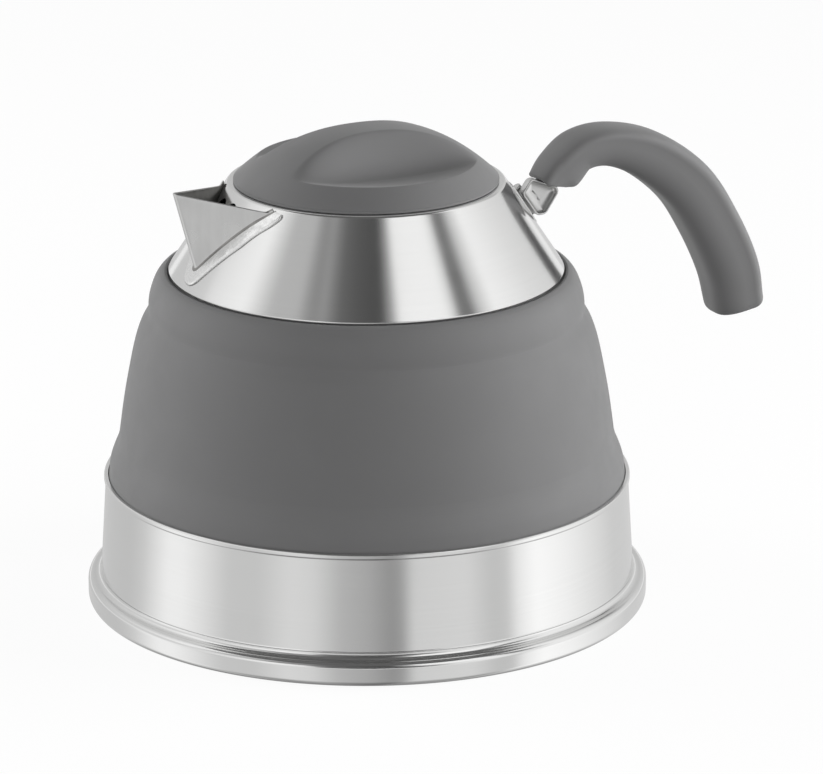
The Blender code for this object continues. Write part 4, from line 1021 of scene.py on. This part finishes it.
def root_edge():
    """Middle of the tray's edge that the grip butts on, the way out of it and the way up along it."""
    start, end = (np.array(TRAY_CORNERS[k]) for k in TRAY_ROOT)
    edge = unit(end - start)
    return (start + end) / 2, np.array((edge[1], -edge[0])), edge


def in_handle(points, depth, matrix):
    """Places in space of points in the handle's plane, at a depth towards -Y."""
    flat = columns(points[:, 0], np.full(len(points), -depth), points[:, 1])
    return moved(flat, matrix)


def grip_places(matrix, count):
    """Middle line of the grip in the hinge's frame, from the tray's edge, with its ways."""
    middle, out, edge = root_edge()
    line = moved(np.array([(radius, 0, height) for radius, height in GRIP_LINE]), matrix.inverted())
    return smooth_curve([middle + out * GAP - edge * GRIP_ROOT_OFFSET, *line[:, [0, 2]]], count)


def straight_on(place, way, size, runs, scales):
    """Places that run straight on from one place, their ways, and its size scaled but for the squareness."""
    sizes = size * columns(scales, scales, np.ones(len(runs)))
    return place + way * runs[:, None], np.tile(way, (len(runs), 1)), sizes


def bracket(matrix, pin_matrix):
    """Pressed tray built of contours: flat back, rounded outer edge, rim and a bowl-shaped floor."""
    quarter = np.linspace(0, pi / 2, CONTOUR_STEPS)
    layers = [(TRAY_EDGE * 3, NEARLY_SHUT, 0.0), (TRAY_EDGE * 3, 0, 0.0), (TRAY_EDGE, 0, 0.0)]
    layers += [(TRAY_EDGE * (1 - sin(a)), 0, TRAY_EDGE * (1 - cos(a))) for a in quarter]
    rim_round = TRAY_RIM / 2
    for angle in np.linspace(0, pi, RIM_STEPS):
        layers.append((rim_round * (1 - cos(angle)), 0, TRAY_DEPTH - rim_round * (1 - sin(angle))))
    bowl = TRAY_DEPTH - rim_round - TRAY_FLOOR
    for angle in np.linspace(0, pi / 2, BOWL_STEPS):
        inset = TRAY_RIM + TRAY_BOWL * (1 - cos(angle))
        layers.append((inset, 0, TRAY_FLOOR + bowl * (1 - sin(angle))))
    shrinks = (*within(TRAY_FLOOR_ROWS), NEARLY_SHUT)
    layers += [(TRAY_RIM + TRAY_BOWL, share, TRAY_FLOOR) for share in shrinks]
    rings = np.stack([
        in_handle(contour(TRAY_CORNERS, inset, TRAY_CORNER, shrink), depth, matrix)
        for inset, shrink, depth in layers
    ])
    made = skin("tray_bracket", rings, SATIN)
    near = FIXED_KNUCKLE / 2 + GAP
    far = HINGE_LENGTH / 2
    back = PIN_BEHIND + TRAY_FLOOR / 2
    side = KNUCKLE_RADIUS / 2
    joined = []
    for name, start, end in (("low", -far, -near), ("high", near, far)):
        joined.append(rod(f"{name}_knuckle", KNUCKLE_RADIUS, start, end, pin_matrix))
        joined.append(box_solid(f"{name}_web", (-side, -back, start), (side, 0, end), SATIN, pin_matrix))
    middle = root_edge()[0]
    aim = grip_places(matrix, TANG_AIM_STEPS + 1)[0][round(TANG_AIM_STEPS * TANG_AIM_SHARE)]
    outward = unit(aim - middle)
    start = middle - outward * (TRAY_RIM + TANG_WIDTH / 2)
    end = middle + outward * TANG_LENGTH
    side = np.array((-outward[1], outward[0])) * TANG_WIDTH / 2
    strip = np.array([start - side, end - side, end + side, start + side])
    tang = np.stack([in_handle(strip, SUPPORT, matrix), in_handle(strip, TRAY_FLOOR - SUPPORT, matrix)])
    joined.append(skin("tang", tang, SATIN))
    combine(made, joined, "UNION")
    dress(made, "handle", "satin_steel", "handle_bracket")


def grip(matrix):
    """Arched grip: superellipse sections square to its middle line.

    A section's point at angle a lies (k + (sign(c) - k) |c|^(2/p)) thickness / 2 out from the middle line
    and sign(s) |s|^(2/p) width / 2 across, with c = cos a, s = sin a, k the crease's share and p the
    squareness, which has its own value on the outside. The width shrinks inwards by the taper. At the far
    end the sections go on by sin b times the end's length and shrink by a small power of cos b. The
    root's skin reaches over the front of the tray.
    """
    places, ways = grip_places(matrix, GRIP_STATIONS)
    shares = np.linspace(0, 1, GRIP_STATIONS)
    turn = np.clip(shares / GRIP_ROOT_SHARE, 0, 1)[:, None]
    ways = unit(root_edge()[1] * (1 - turn) + ways * turn)
    tables = np.array([GRIP_THICKNESS_SHARES, GRIP_WIDTH_SHARES, GRIP_SQUARENESS_SHARES]).T
    sizes = smooth_curve(tables, GRIP_STATIONS)[0]
    keep = shares > GRIP_ROOT_EDGE / runs_along(places)[-1]
    b = np.linspace(pi / 2, 0, GRIP_ROOT_STEPS + 1)[1:]
    drawn_in = GRIP_ROOT_EDGE * (1 - np.cos(b)) / (GRIP_THICKNESS * GRIP_THICKNESS_SHARES[0] / 2)
    root = straight_on(places[0], ways[0], sizes[0], GRIP_ROOT_EDGE * (1 - np.sin(b)), 1 - drawn_in)
    b = within(GRIP_END_STEPS - 1) * pi / 2
    closing = np.cos(b) ** GRIP_END_POWER
    end = straight_on(places[-1], ways[-1], sizes[-1], GRIP_END_ROUND * np.sin(b), closing)
    stretches = zip(root, (places[keep], ways[keep], sizes[keep]), end)
    places, ways, sizes = (np.vstack(rows) for rows in stretches)
    outside = columns(-ways[:, 1], ways[:, 0])
    angles = 2 * pi * (np.arange(GRIP_SIDES) + 0.5) / GRIP_SIDES
    c, s = np.cos(angles), np.sin(angles)
    power = np.where(c > 0, 2 / GRIP_OUTSIDE_SQUARENESS, 2 / sizes[:, 2:])
    out = GRIP_CREASE_SHARE + (np.sign(c) - GRIP_CREASE_SHARE) * np.abs(c) ** power
    out = out * sizes[:, :1] * GRIP_THICKNESS / 2
    narrowed = 1 - GRIP_TAPER * (1 - c) / 2
    across = np.sign(s) * np.abs(s) ** power * narrowed * sizes[:, 1:2] * GRIP_WIDTH / 2
    flat = places[:, None, :] + outside[:, None, :] * out[..., None]
    at_root = np.clip(1 - runs_along(places) / GRIP_ROOT_FADE, 0, 1)[:, None]
    past_tray = np.clip((np.abs(across) - TRAY_DEPTH - GAP) / TRAY_DEPTH, 0, 1)
    flat = flat - ways[:, None, :] * (GRIP_OVERHANG * at_root * past_tray**2)[..., None]
    rings = moved(columns(flat[..., 0], across, flat[..., 1]), matrix)
    dress(skin("arched_grip", rings, MOULDING), "handle", "grey_moulding", "handle_grip")


def dome_height(radius):
    return LID_SEAT + LID_EDGE + LID_RISE * (1 - (radius / LID_RADIUS) ** LID_DOME_POWER)


def lid_height(x, y):
    """Top of the lid: a dome, sunk to the floor of a scoop on each side of the ridge.

    The dome at radius r is edge + rise (1 - (r / R)^p). The floor is flat, and curves up to the dome at
    the scoops' outer radius by the square of the share that is left to it. From the ridge, whose half
    width grows with the square of x, it falls by 6 u^2 - 8 u^3 + 3 u^4 of the share u of the slope.
    """
    radius = np.hypot(x, y)
    dome = dome_height(radius)
    lowest = LID_TOP - SCOOP_FLOOR_DEPTH
    from_rim = np.clip((SCOOP_RADIUS - radius) / SCOOP_RIM_WIDTH, 0, 1)
    floor = lowest + (dome_height(SCOOP_RADIUS) - lowest) * (1 - from_rim) ** 2
    half = RIDGE_HALF_WIDTH + RIDGE_SPREAD * (x / RIDGE_REACH) ** 2
    u = np.clip((np.abs(y) - half) / RIDGE_SLOPE_WIDTH, 0, 1)
    from_ridge = u * u * (6 - 8 * u + 3 * u * u)
    return dome + np.minimum(floor - dome, 0) * from_ridge * (radius < SCOOP_RADIUS)


def lid_cap():
    """Cap: rings of points at the height of the top, then the turned underside."""
    edge_radius = LID_RADIUS - LID_EDGE / 2
    radii = np.concatenate([[SUPPORT], np.linspace(0, edge_radius, LID_RINGS)[1:]])
    upper = turned_rings(columns(radii, radii), TURN_STEPS)
    upper[..., 2] = lid_height(upper[..., 0], upper[..., 1])
    skirt = LID_SEAT - LID_SINK
    ceiling = LID_SEAT + LID_POCKET_DEPTH
    boss_low = PLUG_UNDERSIDE + PLUG_WALL + GAP
    bore = SCREW_RADIUS + GAP
    bore_top = boss_low + SCREW_BITE + GAP
    underside = rounded([
        (edge_radius, LID_SEAT + LID_EDGE_START, 0), (LID_RADIUS, LID_SEAT + LID_EDGE, LID_EDGE / 4),
        (LID_RADIUS, skirt, SMALL_EDGE), (LID_POCKET_RADIUS, skirt, SMALL_EDGE),
        (LID_POCKET_RADIUS, ceiling, SMALL_EDGE), (LID_BOSS_RADIUS, ceiling, SMALL_EDGE),
        (LID_BOSS_RADIUS, boss_low, SMALL_EDGE), (bore, boss_low, SMALL_EDGE), (bore, bore_top, 0),
        (SUPPORT, bore_top, 0),
    ])
    lower = turned_rings(supported(underside), TURN_STEPS)
    made = skin("lid_dome", np.concatenate([upper, lower]), MOULDING)
    dress(made, "lid", "grey_moulding", "lid_cap")


def lid_plug():
    """Cup in the mouth, its seal, and the screw with its washer."""
    flange_top = LID_SEAT + LID_POCKET_DEPTH - GAP
    flange_low = flange_top - PLUG_FLANGE_WALL
    flange_radius = LID_POCKET_RADIUS - GAP
    groove_low = PLUG_UNDERSIDE + SEAL_GROOVE_LAND
    groove_top = groove_low + SEAL_GROOVE_WIDTH
    groove = PLUG_RADIUS - SEAL_GROOVE_DEPTH
    inner = groove - PLUG_WALL
    floor_top = PLUG_UNDERSIDE + PLUG_WALL
    hole = SCREW_RADIUS + GAP
    plug = [
        (inner, flange_top, SMALL_EDGE), (flange_radius, flange_top, SMALL_EDGE),
        (flange_radius, flange_low, SMALL_EDGE), (PLUG_RADIUS, flange_low, 0),
        (PLUG_RADIUS, groove_top, SMALL_EDGE), (groove, groove_top, 0), (groove, groove_low, 0),
        (PLUG_RADIUS, groove_low, SMALL_EDGE), (PLUG_RADIUS, PLUG_UNDERSIDE, SEAL_GROOVE_LAND / 2),
        (hole, PLUG_UNDERSIDE, SMALL_EDGE), (hole, floor_top, SMALL_EDGE), (inner, floor_top, PLUG_WALL),
    ]
    dress(turned("mouth_plug", plug, INNER), "lid", "inner_steel", "lid_plug")
    seal_outer = MOUTH_RADIUS - GAP
    seal = [
        (seal_outer, groove_top - GAP, SEAL_ROUND), (seal_outer, groove_low + GAP, SEAL_ROUND),
        (groove + GAP, groove_low + GAP, 0), (groove + GAP, groove_top - GAP, 0),
    ]
    dress(turned("mouth_seal", seal, SEAL), "lid", "seal_silicone", "lid_seal")
    washer_top = PLUG_UNDERSIDE - GAP
    washer_low = washer_top - WASHER_WALL
    washer = [
        (WASHER_RADIUS, washer_top, SMALL_EDGE), (WASHER_RADIUS, washer_low, SMALL_EDGE),
        (hole, washer_low, 0), (hole, washer_top, 0),
    ]
    dress(turned("screw_washer", washer, SATIN, steps=SMALL_STEPS), "lid", "satin_steel", "lid_washer")
    screw_top = floor_top + GAP + SCREW_BITE
    head_top = washer_low - GAP
    head_low = head_top - SCREW_HEAD
    screw = [
        (SUPPORT, screw_top, 0), (SCREW_RADIUS, screw_top, SMALL_EDGE), (SCREW_RADIUS, head_top, 0),
        (SCREW_HEAD_RADIUS, head_top, SMALL_EDGE), (SCREW_HEAD_RADIUS, head_low, SCREW_HEAD / 2),
        (SUPPORT, head_low, 0),
    ]
    made = turned("plug_screw", screw, SATIN, looped=False, steps=SMALL_STEPS)
    half = SCREW_HEAD_RADIUS / 2
    slots = [
        box_solid(name, (-x, -y, head_low - SCREW_HEAD), (x, y, head_low + SCREW_HEAD / 2), SATIN, Matrix())
        for name, x, y in (("slot_x", half, GAP), ("slot_y", GAP, half))
    ]
    combine(made, slots, "DIFFERENCE")
    dress(made, "lid", "satin_steel", "lid_screw")


def hidden_nodes():
    """Finishes of the CAD nodes that stay: the core in the heat base, and the grip's core and rivets."""
    rivets = ("core_rivet_near", SATIN), ("core_rivet_far", SATIN)
    for name, finish in (("heat_core", ALUMINIUM), ("handle_core", NYLON), *rivets):
        held = frame["nodes"][name].data.materials
        held.clear()
        held.append(finish)


def studio_mesh(name, points, finish):
    """Grid of points as an open sheet that belongs to the studio."""
    rows, across = points.shape[:2]
    index = np.arange(rows * across).reshape(rows, across)
    quads = columns(index[:-1, :-1], index[1:, :-1], index[1:, 1:], index[:-1, 1:])
    mesh = bpy.data.meshes.new(name)
    mesh.from_pydata(points.reshape(-1, 3).tolist(), [], quads.reshape(-1, 4).tolist())
    mesh.materials.append(finish)
    made = bpy.data.objects.new(name, mesh)
    bpy.context.scene.collection.objects.link(made)
    return made


def seen_directly(tree):
    """1 for rays from the camera, off metal or through glass, and 0 for those that carry light."""
    rays = node(tree, "LightPath")
    both = {0: rays["Is Camera Ray"], 1: rays["Is Glossy Ray"]}
    either = node(tree, "Math", (), both, operation="MAXIMUM")["Value"]
    every = {0: either, 1: rays["Is Transmission Ray"]}
    return node(tree, "Math", (), every, operation="MAXIMUM")["Value"]


def floor():
    """Plain white floor that keeps the kettle's shadow."""
    material, tree = new_material("studio_floor")
    shader = tree.nodes["Principled BSDF"]
    shader.inputs["Roughness"].default_value = 1.0
    shader.inputs["Specular IOR Level"].default_value = 0.0
    seen = seen_directly(tree)
    shade = node(tree, "MapRange", {"To Min": FLOOR_BOUNCE, "To Max": FLOOR_COLOUR}, {"Value": seen})
    tree.links.new(shade["Result"], shader.inputs["Base Color"])
    glow = node(tree, "Emission", {"Strength": 1.0})["Emission"]
    share = node(tree, "Math", {1: FLOOR_GLOW_SHARE}, {0: seen}, operation="MULTIPLY")["Value"]
    mix = node(tree, "MixShader", (), {"Fac": share, 1: shader.outputs["BSDF"], 2: glow})
    tree.links.new(mix["Shader"], tree.nodes["Material Output"].inputs["Surface"])
    corner = FLOOR_REACH * np.array((-1.0, 1.0))
    x, y = np.meshgrid(corner, corner)
    made = studio_mesh("studio_floor", columns(x, y, 0 * x), material)
    made.visible_glossy = False


def world():
    """White surroundings: full white where they are seen, less where they only carry light."""
    made = bpy.data.worlds.new("studio")
    bpy.context.scene.world = made
    made.use_nodes = True
    tree = made.node_tree
    limits = {"To Min": WORLD_LIGHT, "To Max": 1.0}
    strength = node(tree, "MapRange", limits, {"Value": seen_directly(tree)})["Result"]
    back = tree.nodes["Background"].inputs
    back["Color"].default_value = (1, 1, 1, 1)
    tree.links.new(strength, back["Strength"])


def softboxes():
    """Large soft lamps round the kettle, aimed at its middle."""
    for name, turn, elevation, distance, width, height, watts in SOFTBOXES:
        lamp = bpy.data.lights.new(name, "AREA")
        lamp.shape = "RECTANGLE"
        lamp.size = width
        lamp.size_y = height
        lamp.energy = watts
        made = bpy.data.objects.new(name, lamp)
        azimuth = CAMERA_AZIMUTH + radians(turn)
        tilt = pi / 2 - radians(elevation)
        back = Matrix.Rotation(azimuth + pi / 2, 4, "Z") @ Matrix.Rotation(tilt, 4, "X")
        made.matrix_world = Matrix.Translation(AIM) @ back @ Matrix.Translation((0, 0, distance))
        made.visible_camera = False
        made.visible_glossy = False
        bpy.context.scene.collection.objects.link(made)


def panels():
    """Sheets that only the steel mirrors: all round, far below and overhead.

    Point (i, j) is (r cos a, r sin a, z), where a is the camera's azimuth plus i degrees and (r, z) is
    place j of the sheet's short outline. Its brightness is written at each point.
    """
    material, tree = new_material("studio_panel")
    tree.nodes.remove(tree.nodes["Principled BSDF"])
    written = node(tree, "Attribute", attribute_name="brightness")["Fac"]
    glow = node(tree, "Emission", (), {"Strength": written})["Emission"]
    tree.links.new(glow, tree.nodes["Material Output"].inputs["Surface"])
    turns = np.linspace(-180, 180, PANEL_STEPS)
    azimuth = CAMERA_AZIMUTH + np.radians(turns)[:, None]
    for name, table, outline in PANELS:
        radius, height, share = np.array(outline).T
        made = studio_mesh(name, around(radius, azimuth, height), material)
        brightness = made.data.attributes.new("brightness", "FLOAT", "POINT")
        round_about = np.interp(turns, *np.array(table).T)
        brightness.data.foreach_set("value", np.outer(round_about, share).ravel())
        for rays in ("camera", "diffuse", "shadow", "transmission"):
            setattr(made, "visible_" + rays, False)


def camera():
    seen = bpy.data.cameras.new("camera")
    seen.lens = CAMERA_LENS
    made = bpy.data.objects.new("camera", seen)
    made.location = CAMERA_PLACE
    made.rotation_euler = (CAMERA_TILT, 0, CAMERA_TURN)
    bpy.context.scene.collection.objects.link(made)
    bpy.context.scene.camera = made


heat_base()
pan()
low_clamp_radius, high_clamp_radius = silicone()
clamp_rings(low_clamp_radius, high_clamp_radius)
shoulder()
spout()
hinge_middle, pin_line = hinge_frame()
hinge_plate(pin_line)
bracket(hinge_middle, pin_line)
grip(hinge_middle)
lid_cap()
lid_plug()
hidden_nodes()
floor()
world()
softboxes()
panels()
camera()
bpy.context.scene.view_settings.view_transform = "Standard"
